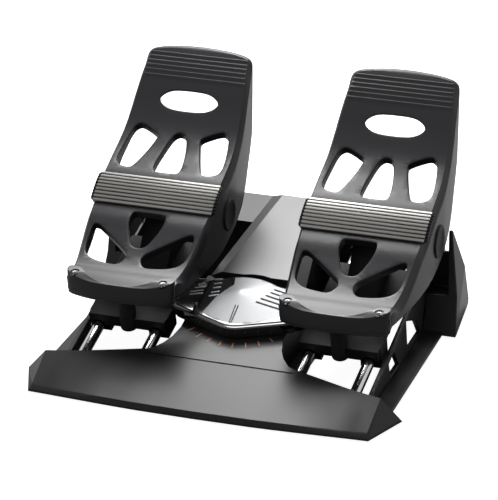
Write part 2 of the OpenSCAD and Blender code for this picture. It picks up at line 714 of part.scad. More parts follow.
// The crossbars hold the rails: the front one stands on the pan, the rear one between the rear casing's sides
crossbar_len = 12;
crossbar_gap = 0.3;
crossbar_top = rear_top_n - wall * cos(rail_tilt) - crossbar_gap;
crossbar_bottom = -9;
crossbar_end = 10;
rear_bar_s = 321;
module crossbar(s0, half_w) {
    color(dark_plastic) place() difference() {
        intersection() {
            on_rails_flat() box(-half_w, half_w, s0, s0 + crossbar_len, crossbar_bottom, crossbar_top);
            above_floor(pan_top + seat);
        }
        on_rails_flat() for (side = [-1, 1]) for (k = [-1, 1])
            translate([side * pedal_x + k * rail_gap / 2, 0, 0])
                bar_s(rail_d, s0 - over, s0 + crossbar_len + over);
    }
}
module rail(side, k) {
    color(polished) on_rails() translate([side * pedal_x + k * rail_gap / 2, 0, 0])
        bar_s(rail_d - 2 * seat, rail_start, rail_end);
}
bumper_d = 18;
bumper_len = 4;
bumper_gap = 4;
bumper_s = carriage_front + carriage_len + slide_travel + bumper_gap;
module rail_bumpers() {
    color(rubber) on_rails() for (side = [-1, 1]) for (k = [-1, 1])
        translate([side * pedal_x + k * rail_gap / 2, 0, 0]) difference() {
            bar_s(bumper_d, bumper_s, bumper_s + bumper_len);
            bar_s(rail_d, bumper_s - over, bumper_s + bumper_len + over);
        }
}
// The rear console: straight sides up to the bevel, then a narrower top, with the collar's curve at the front
collar_r = 48;
console_end_s = 366;
console_end_lean = 6;
function console_ring(n, less, inset) = let (
        foot = console_foot_half_w - less - inset, rear = console_rear_half_w - less - inset,
        from = console_step_s + inset, to = console_end_s - inset - less / console_bevel * console_end_lean)
    [[-foot, from, n], [-rear, to, n], [rear, to, n], [foot, from, n]];
module console_cover_solid(inset) {
    intersection() {
        on_rails_flat() difference() {
            loft([console_ring(-far, 0, inset), console_ring(console_front_n - inset, 0, inset),
                console_ring(console_rear_n - inset, console_bevel, inset)]);
            translate([0, arm_s, console_front_n - inset]) cylinder(r = collar_r + inset, h = far);
        }
        box(-far, far, 0, rear_y - inset, pan_top + seat - inset, far);
    }
}
module rear_profile(inset) {
    from = rear_front_y + inset;
    to = rear_y - inset;
    polygon([[from, base_z + inset], [from, plane_z(from, rear_top_n) - inset],
        [to, plane_z(to, rear_top_n) - inset], [to, base_z + inset]]);
}
module console_cover() {
    color(plastic) place() difference() {
        console_cover_solid(0);
        console_cover_solid(wall);
        along_x(-far, far) rear_profile(-seat);
    }
}
gland_d = 12;
gland_z = 24;
gland_flange_d = 14;
cable_bore_d = 6;
module gland_bore(d) {
    translate([0, rear_y - wall - over, gland_z]) rotate([-90, 0, 0])
        cylinder(d = d, h = gland_len + 2 * over);
}
board = [70, 26, 1.6];
board_gap = 10;
board_front_y = rear_front_y + wall + board_gap;
board_post_h = 10;
board_post_d = 6;
board_post_inset = 5;
module rear_casing() {
    color(plastic) place() difference() {
        union() {
            difference() {
                along_x(-rear_half_w, rear_half_w) rear_profile(0);
                along_x(wall - rear_half_w, rear_half_w - wall) rear_profile(wall);
            }
            for (x = [-1, 1] * (board[0] / 2 - board_post_inset))
                for (y = [board_post_inset, board[1] - board_post_inset])
                    translate([x, board_front_y + y, base_z + wall - eps])
                        cylinder(d = board_post_d, h = board_post_h);
        }
        rail_holes(rail_d + 2 * clear);
        gland_bore(gland_d);
    }
}
module cable_gland() {
    color(rubber) place() translate([0, rear_y - wall, gland_z]) rotate([-90, 0, 0]) difference() {
        union() {
            cylinder(d = gland_d - 2 * seat, h = gland_len);
            translate([0, 0, wall + seat]) cylinder(d = gland_flange_d, h = gland_len - wall - seat);
        }
        translate([0, 0, -over]) cylinder(d = cable_bore_d, h = far);
    }
}
// End caps: a foot block, a recessed inner part, and a thin leaning blade that stands up outside the pedals
cap_past = 0.4;
cap_out = flare_half_w + cap_past;
blade_lean = 14.6;
cap_in = cap_out - blade_lean;
blade_t = 4;
cap_taper = 9.5;
cap_rear_out = cap_out - cap_taper;
cap_low_z = 84;
foot_front_y = 262;
foot_top_y = 278;
foot_top_z = 43;
recess_y = 300;
blade_y = 277;
blade_tip = 4;
cap_rear_y = 354;
cap_rear_z = 9;
module end_cap(side) {
    outline = [[foot_front_y, base_z], [foot_top_y, foot_top_z], [blade_y, fin_top_z],
        [blade_y + blade_tip, fin_top_z], [cap_rear_y, cap_rear_z], [cap_rear_y, base_z]];
    color(plastic) place() scale([side, 1, 1]) difference() {
        intersection() {
            along_x(rear_half_w + seat, far) polygon(outline);
            rotate([90, 0, 0]) translate([0, 0, -2 * far]) linear_extrude(4 * far) polygon([
                [rear_half_w, 0], [cap_out, 0], [cap_in + blade_t, fin_top_z],
                [cap_in, fin_top_z], [cap_in, cap_low_z], [rear_half_w, cap_low_z]]);
            linear_extrude(far) polygon([[rear_half_w, foot_front_y], [cap_out, foot_front_y],
                [cap_rear_out, cap_rear_y], [rear_half_w, cap_rear_y]]);
        }
        box(0, cap_in, 0, recess_y, foot_top_z, far);
    }
}
// Side webs: plates from the front casing to the rear one, with two windows, beside the floor straps
web_t = 5;
web_gap = 2.5;
web_in = pedal_x + rail_gap / 2 + housing_w / 2 + web_gap;
web_out = web_in + web_t;
web_top_n = 0.5;
web_start = 45;
window_floor = 2;
strap_inset = 14.6;
strap_out = flare_half_w - strap_inset;
strap_start = 45;
strap_top = base_z + strap_t;
web_window_shares = [
    [[0.634, 0.144], [0.761, 0.0925], [0.825, 0.02], [0.662, 0.02]],
    [[0.482, 0.096], [0.549, 0.02], [0.448, 0.02], [0.422, 0.078]]
];
module side_web(side) {
    color(plastic) place() scale([side, 1, 1]) difference() {
        along_x(web_in, web_out) polygon([[web_start, base_z], [web_start, plane_z(web_start, web_top_n)],
            [rear_front_y - seat, plane_z(rear_front_y, web_top_n)], [rear_front_y - seat, base_z]]);
        front_bar(-seat);
        box(rear_half_w, far, foot_front_y - seat, rear_y, 0, far);
        for (window = web_window_shares) along_x(web_in - over, web_out + over)
            polygon([for (p = window) [p[0] * rear_front_y, p[1] * rear_front_y + window_floor]]);
    }
}
module floor_strap(side) {
    color(plastic) place() scale([side, 1, 1]) difference() {
        box(web_out + seat, strap_out, strap_start, foot_top_y, base_z, strap_top);
        front_bar(-seat);
        along_x(0, far) polygon([[foot_front_y - seat, 0], [foot_front_y - seat, base_z],
            [foot_top_y - seat, foot_top_z], [far * 2, foot_top_z], [far * 2, 0]]);
    }
}
// The base pan closes the casings from below and carries the crossbar and the hub
pan_t = 2;
pan_gap = 2;
pan_half_w = pedal_x - (rail_gap + rail_d) / 2 - pan_gap;
pan_top = base_z + pan_t;
module base_pan() {
    color(dark_plastic) place() difference() {
        intersection() {
            union() {
                front_bar(0);
                box(-pan_half_w, pan_half_w, rail_start, rear_front_y - seat, base_z, pan_top);
            }
            box(-far, far, -far, far * 2, base_z, pan_top);
        }
        rail_holes(rail_d);
    }
}
hub_base_d = 60;
hub_base_n = -4;
post_seat = 16;
post_top_n = 29;
module hub_base() {
    color(dark_plastic) place() difference() {
        intersection() {
            on_rails_flat() translate([0, arm_s, -far]) cylinder(d = hub_base_d, h = far + hub_base_n);
            above_floor(pan_top + seat);
        }
        on_rails_flat() translate([0, arm_s, hub_base_n - post_seat]) cylinder(d = post_d, h = far);
    }
}
module arm_post() {
    color(steel) on_rails() {
        translate([0, arm_s, hub_base_n - post_seat + seat]) cylinder(d = post_d - 2 * seat, h = post_seat);
        translate([0, arm_s, hub_base_n]) cylinder(d = post_d, h = post_top_n - hub_base_n);
    }
}
nut_d = 24;
nut_h = 4.5;
module post_nut() {
    color(steel) on_rails() translate([0, arm_s, arm_top + fit]) difference() {
        cylinder(d = nut_d, h = nut_h, $fn = 6);
        translate([0, 0, -over]) cylinder(d = post_d + 2 * seat, h = nut_h + 2 * over);
    }
}
centring_r = 12;
centring_wire = 2;
centring_turns = 4;
centring_gap = 0.5;
centring_leg = 16;
module centring_spring() {
    color(steel) on_rails() translate([0, arm_s, hub_base_n + centring_wire / 2 + seat])
        coil(centring_r, centring_wire, centring_turns, centring_wire + centring_gap, centring_leg);
}
sensor_box = [24, 30, 10];
sensor_front_y = 90;
module rudder_sensor() {
    color(dark_plastic) place()
        translate([-sensor_box[0] / 2, sensor_front_y, pan_top + seat]) cube(sensor_box);
}
module circuit_board() {
    color(board_green) place()
        translate([-board[0] / 2, board_front_y, base_z + wall - eps + board_post_h + seat]) cube(board);
}
tick_count = 8;
tick_fan = 43.4;
tick_r = 59.5;
tick_len = 8;
tick_w = 1.4;
tick_t = 0.4;
module scale_ticks() {
    color(tick_orange) on_rails() translate([0, arm_s, console_front_n + seat])
        for (i = [0 : tick_count - 1]) rotate([0, 0, tick_fan * (2 * i / (tick_count - 1) - 1)])
            box(-tick_w / 2, tick_w / 2, -tick_r - tick_len, -tick_r, 0, tick_t);
}
front_feet = [[150, 28], [60, 20]];
rear_feet = [[(rear_half_w + cap_out) / 2, 330], [(web_out + strap_out) / 2, 180]];
module rubber_feet() {
    color(rubber) place() for (side = [-1, 1]) {
        for (p = front_feet) translate([side * p[0], p[1], 0]) cylinder(d = foot_d, h = foot_h - seat);
        for (p = rear_feet) translate([side * p[0], p[1], 0]) cylinder(d = foot_d, h = foot_h - seat);
    }
}

// What is drawn
front_casing();
crossbar(rail_start, pedal_x + rail_gap / 2 + crossbar_end);  // front_crossbar
base_pan();
console_cover();
scale_ticks();
hub_base();
arm_post();
post_nut();
rudder_sensor();
centring_spring();
rear_casing();
crossbar(rear_bar_s, rear_half_w - wall - seat);  // rear_crossbar
end_cap(-1);  // end_cap_left
end_cap(1);  // end_cap_right
side_web(-1);  // side_web_left
side_web(1);  // side_web_right
floor_strap(-1);  // floor_strap_left
floor_strap(1);  // floor_strap_right
rail(-1, -1);  // rail_left_outer
rail(-1, 1);  // rail_left_inner
rail(1, -1);  // rail_right_inner
rail(1, 1);  // rail_right_outer
rail_bumpers();
cable_gland();
circuit_board();
rubber_feet();
on_rails() rudder_arm();
on_rails() arm_bush();
on_rails() arm_cover();
on_rails() arm_plate();
on_rails() on_carriage(-1) carriage();  // carriage_left
on_rails() on_carriage(-1) slide_bushes();  // slide_bushes_left
on_rails() on_carriage(-1) link_pin();  // link_pin_left
on_rails() on_carriage(-1) pedal_tower();  // pedal_tower_left
on_rails() on_carriage(-1) hinge_shaft();  // hinge_shaft_left
on_rails() on_carriage(-1) brake_spring();  // brake_spring_left
on_rails() on_carriage(-1) brake_sensor();  // brake_sensor_left
on_rails() on_carriage(-1) brake_stop();  // brake_stop_left
on_hinge(-1) pedal_shell();  // pedal_shell_left
on_hinge(-1) tread_band();  // tread_band_left
on_hinge(-1) heel_rest();  // heel_rest_left
on_hinge(-1) heel_screws();  // heel_screws_left
on_hinge(-1) hinge_caps();  // hinge_caps_left
on_rails() on_carriage(1) carriage();  // carriage_right
on_rails() on_carriage(1) slide_bushes();  // slide_bushes_right
on_rails() on_carriage(1) link_pin();  // link_pin_right
on_rails() on_carriage(1) pedal_tower();  // pedal_tower_right
on_rails() on_carriage(1) hinge_shaft();  // hinge_shaft_right
on_rails() on_carriage(1) brake_spring();  // brake_spring_right
on_rails() on_carriage(1) brake_sensor();  // brake_sensor_right
on_rails() on_carriage(1) brake_stop();  // brake_stop_right
on_hinge(1) pedal_shell();  // pedal_shell_right
on_hinge(1) tread_band();  // tread_band_right
on_hinge(1) heel_rest();  // heel_rest_right
on_hinge(1) heel_screws();  // heel_screws_right
on_hinge(1) hinge_caps();  // hinge_caps_right
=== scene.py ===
import json
import math

import bmesh
import bpy
from mathutils import Matrix, Vector


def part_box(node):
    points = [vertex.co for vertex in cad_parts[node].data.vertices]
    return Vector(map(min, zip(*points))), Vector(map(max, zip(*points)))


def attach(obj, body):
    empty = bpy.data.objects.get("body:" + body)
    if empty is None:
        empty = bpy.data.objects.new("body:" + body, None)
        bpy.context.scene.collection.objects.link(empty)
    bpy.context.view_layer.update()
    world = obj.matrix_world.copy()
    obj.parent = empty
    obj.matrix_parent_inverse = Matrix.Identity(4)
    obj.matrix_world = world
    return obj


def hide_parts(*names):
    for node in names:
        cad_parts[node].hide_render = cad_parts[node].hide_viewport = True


# Flight simulator rudder pedals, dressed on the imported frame. Lengths are in metres.
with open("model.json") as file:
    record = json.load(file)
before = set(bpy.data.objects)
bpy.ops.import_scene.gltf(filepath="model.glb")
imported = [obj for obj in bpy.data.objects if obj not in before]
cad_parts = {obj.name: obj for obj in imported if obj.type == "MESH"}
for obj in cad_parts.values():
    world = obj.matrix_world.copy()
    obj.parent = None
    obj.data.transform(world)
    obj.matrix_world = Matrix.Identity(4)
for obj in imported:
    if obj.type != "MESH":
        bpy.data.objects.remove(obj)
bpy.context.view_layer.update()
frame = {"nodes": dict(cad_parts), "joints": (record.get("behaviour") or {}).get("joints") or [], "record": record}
print("stage: frame loaded")

sides = ("left", "right")
frameFit = {
    "toe share": 0.455,  # the pedal's toe from its hinge, as a share of its length
    "rear face": 0.356,  # the rear casing's face behind the front edge
    "arm pivot": 0.168,  # the arm's pivot, along the rails
}


def hingeOf(side):
    low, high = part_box("hinge_shaft_" + side)
    return (low + high) / 2


def atHinge(side):
    return Matrix.Translation(hingeOf(side))


hinge = hingeOf("right")
pedalLength = (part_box("pedal_shell_right")[1].y - hinge.y) / frameFit["toe share"]
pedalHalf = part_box("pedal_shell_right")[1].x - hinge.x
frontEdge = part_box("rear_casing")[1].y - frameFit["rear face"]
slideAxis = Vector(next(j for j in frame["joints"] if j["name"] == "right_slide")["axis"])
tilt = math.atan2(slideAxis.z, slideAxis.y)
railFrame = Matrix.Translation((0, frontEdge, 0)) @ Matrix.Rotation(tilt, 4, "X")  # y runs along the rails


# Lines and loops

# A closed loop with its corners cut round
def roundedLoop(points, passes=2):
    loop = [Vector(p) for p in points]
    for _ in range(passes):
        cut = []
        for i, p in enumerate(loop):
            q = loop[(i + 1) % len(loop)]
            cut += [p.lerp(q, 0.25), p.lerp(q, 0.75)]
        loop = cut
    return loop


# The closed loop with count points at even distances
def evenLoop(points, count):
    ring = list(points) + [points[0]]
    reach = [0.0]
    for a, b in zip(ring, ring[1:]):
        reach.append(reach[-1] + (b - a).length)
    even, k = [], 0
    for i in range(count):
        want = reach[-1] * i / count
        while reach[k + 1] < want:
            k += 1
        span = max(reach[k + 1] - reach[k], 1e-12)
        even.append(ring[k].lerp(ring[k + 1], (want - reach[k]) / span))
    return even


# The closed loop moved outwards by out
def movedLoop(loop, out):
    area = sum(a.x * b.y - b.x * a.y for a, b in zip(loop, loop[1:] + loop[:1]))
    turn = 1 if area > 0 else -1
    moved = []
    for i, p in enumerate(loop):
        t = (loop[(i + 1) % len(loop)] - loop[i - 1]).normalized()
        moved.append(Vector((p.x + t.y * out * turn, p.y - t.x * out * turn)))
    return moved


# A closed outline from its right half, given as x and y from the front to the back
def both(half):
    right = [Vector(p) for p in half]
    return right + [Vector((-p.x, p.y)) for p in reversed(right) if p.x > 1e-9]


# Height of a smooth line through the points, at y
def heightAt(line, y):
    if y <= line[0][0]:
        return line[0][1] + (y - line[0][0]) * (line[1][1] - line[0][1]) / (line[1][0] - line[0][0])
    if y >= line[-1][0]:
        return line[-1][1]
    k = max(i for i in range(len(line) - 1) if line[i][0] <= y)
    (y0, z0), (y1, z1) = line[k], line[k + 1]

    def rise(i):
        a, b = line[max(i - 1, 0)], line[min(i + 1, len(line) - 1)]
        return (b[1] - a[1]) / (b[0] - a[0]) * (y1 - y0)

    t = (y - y0) / (y1 - y0)
    m0, m1 = rise(k), rise(k + 1)
    return ((2 * t ** 3 - 3 * t ** 2 + 1) * z0 + (t ** 3 - 2 * t ** 2 + t) * m0
            + (3 * t ** 2 - 2 * t ** 3) * z1 + (t ** 3 - t ** 2) * m1)


# Meshes

def ringOf(bm, loop, z):
    verts = [bm.verts.new((p.x, p.y, z)) for p in loop]
    return [bm.edges.new((a, b)) for a, b in zip(verts, verts[1:] + verts[:1])]


# A flat sheet whose z says how far a point goes down: above 0 at the outer edge, below 0 at a hole's edge
def flatSheet(outline, edgeRings, holes=(), holeRings=(), cutsX=(), cutsY=()):
    bm = bmesh.new()
    rings = [ringOf(bm, movedLoop(outline, -inset), drop) for inset, drop in edgeRings]
    for a, b in zip(rings, rings[1:]):
        bmesh.ops.bridge_loops(bm, edges=a + b)
    fillEdges = list(rings[0])
    for hole in holes:
        rings = [ringOf(bm, movedLoop(hole, away), -drop) for away, drop in holeRings]
        for a, b in zip(rings, rings[1:]):
            bmesh.ops.bridge_loops(bm, edges=a + b)
        fillEdges += rings[0]
    bmesh.ops.triangle_fill(bm, use_beauty=True, use_dissolve=False, edges=fillEdges, normal=(0, 0, 1))
    for axis, cuts in ((0, cutsX), (1, cutsY)):
        for place in cuts:
            at = Vector((0, 0, 0))
            at[axis] = place
            square = Vector((0, 0, 0))
            square[axis] = 1
            geom = bm.verts[:] + bm.edges[:] + bm.faces[:]
            bmesh.ops.bisect_plane(bm, geom=geom, dist=1e-7, plane_co=at, plane_no=square)
    return bm


# Extrudes boundary edges once, moves the new points with place, and returns the new boundary edges
def skirt(bm, edges, place):
    made = bmesh.ops.extrude_edge_only(bm, edges=edges)["geom"]
    verts = {v for v in made if isinstance(v, bmesh.types.BMVert)}
    for v in verts:
        v.co = place(v.co)
    return [e for e in bm.edges if e.is_boundary and e.verts[0] in verts and e.verts[1] in verts]


# Ring sizes for an edge rounded by a quarter circle: how far in, and how far down
def quarterRound(radius):
    angles = [math.radians(turn) for turn in (0, 30, 60, 90)]
    return [(radius * (1 - math.sin(a)), radius * (1 - math.cos(a))) for a in angles]


# Places of even cuts, from the cell's size and the first and last cell
def cellCuts(cell, first, last):
    return [i * cell for i in range(first, last + 1)]


# Turns a line of points round an axis through centre
def turned(bm, points, centre, axis, steps):
    verts = [bm.verts.new(p) for p in points]
    edges = [bm.edges.new((a, b)) for a, b in zip(verts, verts[1:])]
    bmesh.ops.spin(bm, geom=verts + edges, cent=centre, axis=axis, dvec=(0, 0, 0),
                   angle=2 * math.pi, steps=steps, use_merge=True, use_duplicate=False)


# Merges doubles and turns the faces outwards, or upwards on an open sheet
def outwards(bm, upFaces=False):
    bmesh.ops.remove_doubles(bm, verts=bm.verts, dist=1e-6)
    bmesh.ops.recalc_face_normals(bm, faces=bm.faces)
    if upFaces and sum(f.normal.z * f.calc_area() for f in bm.faces) < 0:
        bmesh.ops.reverse_faces(bm, faces=bm.faces)


# A new object in the scene's collection
def linked(name, data):
    obj = bpy.data.objects.new(name, data)
    bpy.context.scene.collection.objects.link(obj)
    return obj


# Rounds the edges that turn by more than the angle
def roundEdges(obj, width, angle):
    edge = obj.modifiers.new("edge", "BEVEL")
    edge.width = width
    edge.segments = 2
    edge.limit_method = "ANGLE"
    edge.angle_limit = math.radians(angle)


# Applies the modifiers and shades smooth up to the angle
def settle(obj, angle):
    bpy.context.view_layer.update()
    made = bpy.data.meshes.new_from_object(obj.evaluated_get(bpy.context.evaluated_depsgraph_get()))
    obj.modifiers.clear()
    obj.data = made
    made.polygons.foreach_set("use_smooth", [True] * len(made.polygons))
    made.set_sharp_from_angle(angle=math.radians(angle))


# A finished piece: its mesh put in place, walled or bevelled, shaded and set on its body
def piece(name, bm, body, materials, nodes=(), wall=0.0, bevel=0.0, place=None, angle=35):
    mesh = bpy.data.meshes.new(name)
    if place is not None:
        bm.transform(place)
    bm.to_mesh(mesh)
    obj = linked(name, mesh)
    for m in materials:
        mesh.materials.append(m)
    if wall:
        solid = obj.modifiers.new("wall", "SOLIDIFY")
        solid.thickness = wall
        solid.offset = -1
    if bevel:
        roundEdges(obj, bevel, 40)
    settle(obj, angle)
    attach(obj, body)
    if nodes:
        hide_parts(*nodes)


softLook = {
    "merge": 2e-6,  # corners of a CAD node's loose triangles nearer than this are one
    "flat angle": 0.6,  # degrees under which neighbouring faces join
    "edge angle": 24,  # degrees past which an edge is rounded
    "casing angle": 50,  # the same, for the front casing's blended top
    "smooth past": 12,  # degrees more that still shade smooth beside a rounded edge
}


# A merged copy of a CAD node with its edges rounded
def softCopy(node, body, material, bevel, angle):
    bm = bmesh.new()
    bm.from_mesh(frame["nodes"][node].data)
    bmesh.ops.remove_doubles(bm, verts=bm.verts, dist=softLook["merge"])
    flat = math.radians(softLook["flat angle"])
    bmesh.ops.dissolve_limit(bm, angle_limit=flat, verts=bm.verts, edges=bm.edges)
    mesh = bpy.data.meshes.new(node + "_soft")
    bm.to_mesh(mesh)
    bm.free()
    obj = linked(node + "_soft", mesh)
    mesh.materials.append(material)
    if bevel:
        roundEdges(obj, bevel, angle)
        even = obj.modifiers.new("even", "WEIGHTED_NORMAL")
        even.keep_sharp = True
    mesh.polygons.foreach_set("use_smooth", [True] * len(mesh.polygons))
    mesh.set_sharp_from_angle(angle=math.radians(angle + (softLook["smooth past"] if bevel else 0)))
    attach(obj, body)
    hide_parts(node)


# Materials

grainLook = {
    "detail": 3, "depth": 0.0004,  # the fine grain
    "cloud scale": 22, "cloud span": (0.3, 0.7), "cloud shade": (0.6, 0.6, 0.62, 1),  # the unevenness of tone
}


# Fine moulded grain and a faint unevenness of tone, from the object's own coordinates
def mouldGrainGroup():
    group = bpy.data.node_groups.new("mouldGrain", "ShaderNodeTree")
    group.interface.new_socket("Grain Scale", in_out="INPUT", socket_type="NodeSocketFloat")
    group.interface.new_socket("Color", in_out="INPUT", socket_type="NodeSocketColor")
    group.interface.new_socket("Tone", in_out="INPUT", socket_type="NodeSocketFloat")
    group.interface.new_socket("Height", in_out="OUTPUT", socket_type="NodeSocketFloat")
    group.interface.new_socket("Color", in_out="OUTPUT", socket_type="NodeSocketColor")
    nodes, links = group.nodes, group.links
    inside, outside = nodes.new("NodeGroupInput"), nodes.new("NodeGroupOutput")
    coordinates = nodes.new("ShaderNodeTexCoord")
    grain = nodes.new("ShaderNodeTexNoise")
    grain.inputs["Detail"].default_value = grainLook["detail"]
    links.new(coordinates.outputs["Object"], grain.inputs["Vector"])
    links.new(inside.outputs["Grain Scale"], grain.inputs["Scale"])
    cloud = nodes.new("ShaderNodeTexNoise")
    cloud.inputs["Scale"].default_value = grainLook["cloud scale"]
    links.new(coordinates.outputs["Object"], cloud.inputs["Vector"])
    span = nodes.new("ShaderNodeMapRange")
    span.inputs["From Min"].default_value, span.inputs["From Max"].default_value = grainLook["cloud span"]
    span.inputs["To Min"].default_value = 0
    links.new(cloud.outputs["Fac"], span.inputs["Value"])
    links.new(inside.outputs["Tone"], span.inputs["To Max"])
    shade = nodes.new("ShaderNodeMix")
    shade.data_type = "RGBA"
    shade.blend_type = "MULTIPLY"
    shade.inputs["B"].default_value = grainLook["cloud shade"]
    links.new(span.outputs["Result"], shade.inputs["Factor"])
    links.new(inside.outputs["Color"], shade.inputs["A"])
    links.new(grain.outputs["Fac"], outside.inputs["Height"])
    links.new(shade.outputs["Result"], outside.inputs["Color"])
    return group


mouldGrain = mouldGrainGroup()


# A finish: tone sets how uneven its colour is and bump how deep its grain is, and 0 leaves either out
def finish(name, color, roughness, metallic=0.0, grain=900.0, bump=0.05, tone=0.25, coat=0.0, specular=0.5):
    material = bpy.data.materials.new(name)
    material.use_nodes = True
    nodes, links = material.node_tree.nodes, material.node_tree.links
    shader = nodes["Principled BSDF"]
    shader.inputs["Roughness"].default_value = roughness
    shader.inputs["Metallic"].default_value = metallic
    shader.inputs["Coat Weight"].default_value = coat
    shader.inputs["Coat Roughness"].default_value = 0.06
    shader.inputs["Specular IOR Level"].default_value = specular
    shader.inputs["Base Color"].default_value = (*color, 1)
    if not tone and not bump:
        return material
    surface = nodes.new("ShaderNodeGroup")
    surface.node_tree = mouldGrain
    surface.inputs["Grain Scale"].default_value = grain
    surface.inputs["Color"].default_value = (*color, 1)
    surface.inputs["Tone"].default_value = tone
    if tone:
        links.new(surface.outputs["Color"], shader.inputs["Base Color"])
    if bump:
        relief = nodes.new("ShaderNodeBump")
        relief.inputs["Strength"].default_value = bump
        relief.inputs["Distance"].default_value = grainLook["depth"]
        links.new(surface.outputs["Height"], relief.inputs["Height"])
        links.new(relief.outputs["Normal"], shader.inputs["Normal"])
    return material


looks = {
    "casing_plastic": finish("casingPlastic", (0.014, 0.014, 0.016), 0.34, bump=0.05, specular=0.20),
    # A lighter, glossier copy of the casing plastic for the console cover: painted highlight for the light that
    # its top reflects
    "console_plastic_painted_highlight": finish("consolePlasticPaintedHighlight", (0.028, 0.028, 0.031), 0.36, bump=0.05, specular=0.42),
    "pedal_plastic": finish("pedalPlastic", (0.017, 0.017, 0.020), 0.36, bump=0.06, specular=0.26),
    # A lighter, glossier copy of the pedal plastic for the heel rest's top: painted highlight for the light that
    # the top catches
    "heel_top_painted_highlight": finish("heelTopPaintedHighlight", (0.020, 0.020, 0.023), 0.42, bump=0.06, specular=0.7),
    # Near-black plastic of the carriages, towers, stops and base pan, darker than the other plastics: partly their
    # own colour, partly painted shade for where they sit under the pedals and between the rails
    "inner_plastic": finish("innerPlasticAndPaintedShade", (0.006, 0.006, 0.007), 0.5, specular=0.15),
    "tread_metal": finish("treadMetal", (0.20, 0.195, 0.187), 0.33, metallic=0.9, grain=1400),
    "gloss_black": finish("glossBlack", (0.006, 0.006, 0.007), 0.12, coat=0.6, bump=0.0, tone=0.0),
    "silver_gloss": finish("silverGloss", (0.125, 0.127, 0.13), 0.36, metallic=0.9, bump=0.0, tone=0.08),
    "tick_print": finish("tickPrint", (0.72, 0.25, 0.07), 0.5),
    "rail_chrome": finish("railChrome", (0.50, 0.505, 0.51), 0.16, metallic=1.0, bump=0.0, tone=0.05),
    "screw_steel": finish("blackScrew", (0.22, 0.22, 0.23), 0.3, metallic=0.9),
    "steel": finish("zincSteel", (0.50, 0.51, 0.52), 0.34, metallic=1.0),
    "spring_steel": finish("drawnWire", (0.10, 0.10, 0.105), 0.35, metallic=0.9),
    "bush_brass": finish("turnedBrass", (0.62, 0.45, 0.2), 0.3, metallic=1.0),
    "bush_plastic": finish("ivoryAcetal", (0.75, 0.74, 0.7), 0.45),
    "board_laminate": finish("boardLaminate", (0.05, 0.2, 0.09), 0.4),
    "rubber": finish("blackRubber", (0.010, 0.010, 0.010), 0.7, bump=0.2, specular=0.2),
}
darkGroove = finish("grooveBlack", (0.008, 0.008, 0.009), 0.6)
whiteBar = finish("whiteBar", (0.70, 0.70, 0.70), 0.35, bump=0.0)
print("stage: materials ready")

slotOf = {r["node"]: r["material_slot"] for r in frame["record"]["subparts"]}
bodyOf = {n: b for b, group in frame["record"]["behaviour"]["bodies"].items() for n in group}
for node, obj in frame["nodes"].items():
    obj.data.materials.clear()
    obj.data.materials.append(looks[slotOf[node]])

# Pedals

# Along the pedal, shares of its length from its hinge; across it, of its half width; the rest in metres
pedalLook = {
    "face": [(-0.577, -0.104), (-0.502, -0.085), (-0.448, -0.078), (-0.394, -0.0615), (-0.34, -0.036),
             (-0.286, -0.002), (-0.232, 0.034), (-0.176, 0.061), (-0.116, 0.1), (-0.057, 0.138),
             (-0.0054, 0.16), (0.041, 0.18), (0.088, 0.202), (0.131, 0.227), (0.165, 0.25),
             (0.196, 0.277), (0.243, 0.327), (0.29, 0.385), (0.336, 0.4385), (0.383, 0.482),
             (0.4, 0.4985), (0.43, 0.525)],
    "outline": [(0, -0.5725), (0.35, -0.57), (0.56, -0.559), (0.72, -0.545), (0.8, -0.53), (0.84, -0.505),
                (0.87, -0.47), (0.92, -0.378), (0.957, -0.288), (0.985, -0.18), (1, -0.068), (1, 0.068),
                (0.985, 0.126), (0.945, 0.237), (0.9, 0.32), (0.872, 0.37), (0.856, 0.398), (0.8, 0.409),
                (0.7, 0.416), (0.42, 0.4255), (0, 0.43)],
    "outline steps": 300, "window steps": 56,
    "on outline": 0.002,  # an edge nearer the outline than this is the outer one
    "lower edge": [(-0.58, -0.14), (-0.505, -0.14), (-0.34, -0.137), (-0.203, -0.134), (-0.077, -0.121),
                   (0.063, -0.081), (0.178, -0.04), (0.232, 0), (0.311, 0.09), (0.38, 0.173), (0.44, 0.306)],
    "left lower edge": [(-0.58, -0.14), (-0.505, -0.14), (-0.34, -0.137), (-0.27, -0.125), (-0.2, -0.095),
                        (-0.13, -0.054), (-0.088, -0.048), (-0.066, -0.075), (-0.055, -0.1), (0, -0.1),
                        (0.05, -0.088), (0.062, -0.06), (0.075, 0.01), (0.09, 0.06), (0.12, 0.102),
                        (0.2, 0.155), (0.28, 0.2), (0.335, 0.205), (0.365, 0.175), (0.38, 0.173),
                        (0.44, 0.306)],
    "edge roll": [(1, 0), (0.95, 0.035), (0.74, 0.15), (0.5, 0.35), (0.25, 0.65), (0.06, 0.88), (0, 1)],
    "edge roll size": (0.0048, 0.012),  # in and down
    "toe roll share": 0.35, "toe span": (0.35, 0.42),
    "heel roll share": 0.07, "heel span": (0.41, 0.5),
    "side levels": [(0, 1.0), (0.34, 0.95), (0.5, 0.7), (1, 0.35)],  # how far down, and the toe's bulge there
    "side start": 0.003,  # straight down before the side's levels
    "toe bulge share": 0.0245, "bulge span": (0.37, 0.43),
    "toe wall end": 0.42,  # how low the toe's wall reaches in its middle
    "toe wall from": 0.4, "toe wall half": 0.84, "toe wall blend": 0.12,
    "wall": 0.0026,
    "rim depth": 0.009,
    "rim slopes": [(-0.19, 26), (0.2, 25), (1, 51)],  # degrees that a window's wall leans, up to each share
    "lens rim": 0.0024, "lens from": 0.22,  # the top window's wall, and where along the pedal it begins
    "rim round": 0.0011,
    "ribs": (0.315, 0.386, 6),  # first, last and how many
    "rib": (0.0013, 0.0011),  # half width and height
    "rib end": 0.002,
    "rib cuts": (-1, -0.8, -0.45, 0, 0.45, 0.8, 1),
    "cells x": (0.008, -8, 8), "cells y": (0.004, -39, 30),  # a cell's size, and the first and last
    "boss": (0.012, 0.012),  # radius and length
    "boss edge": 0.0008,
}
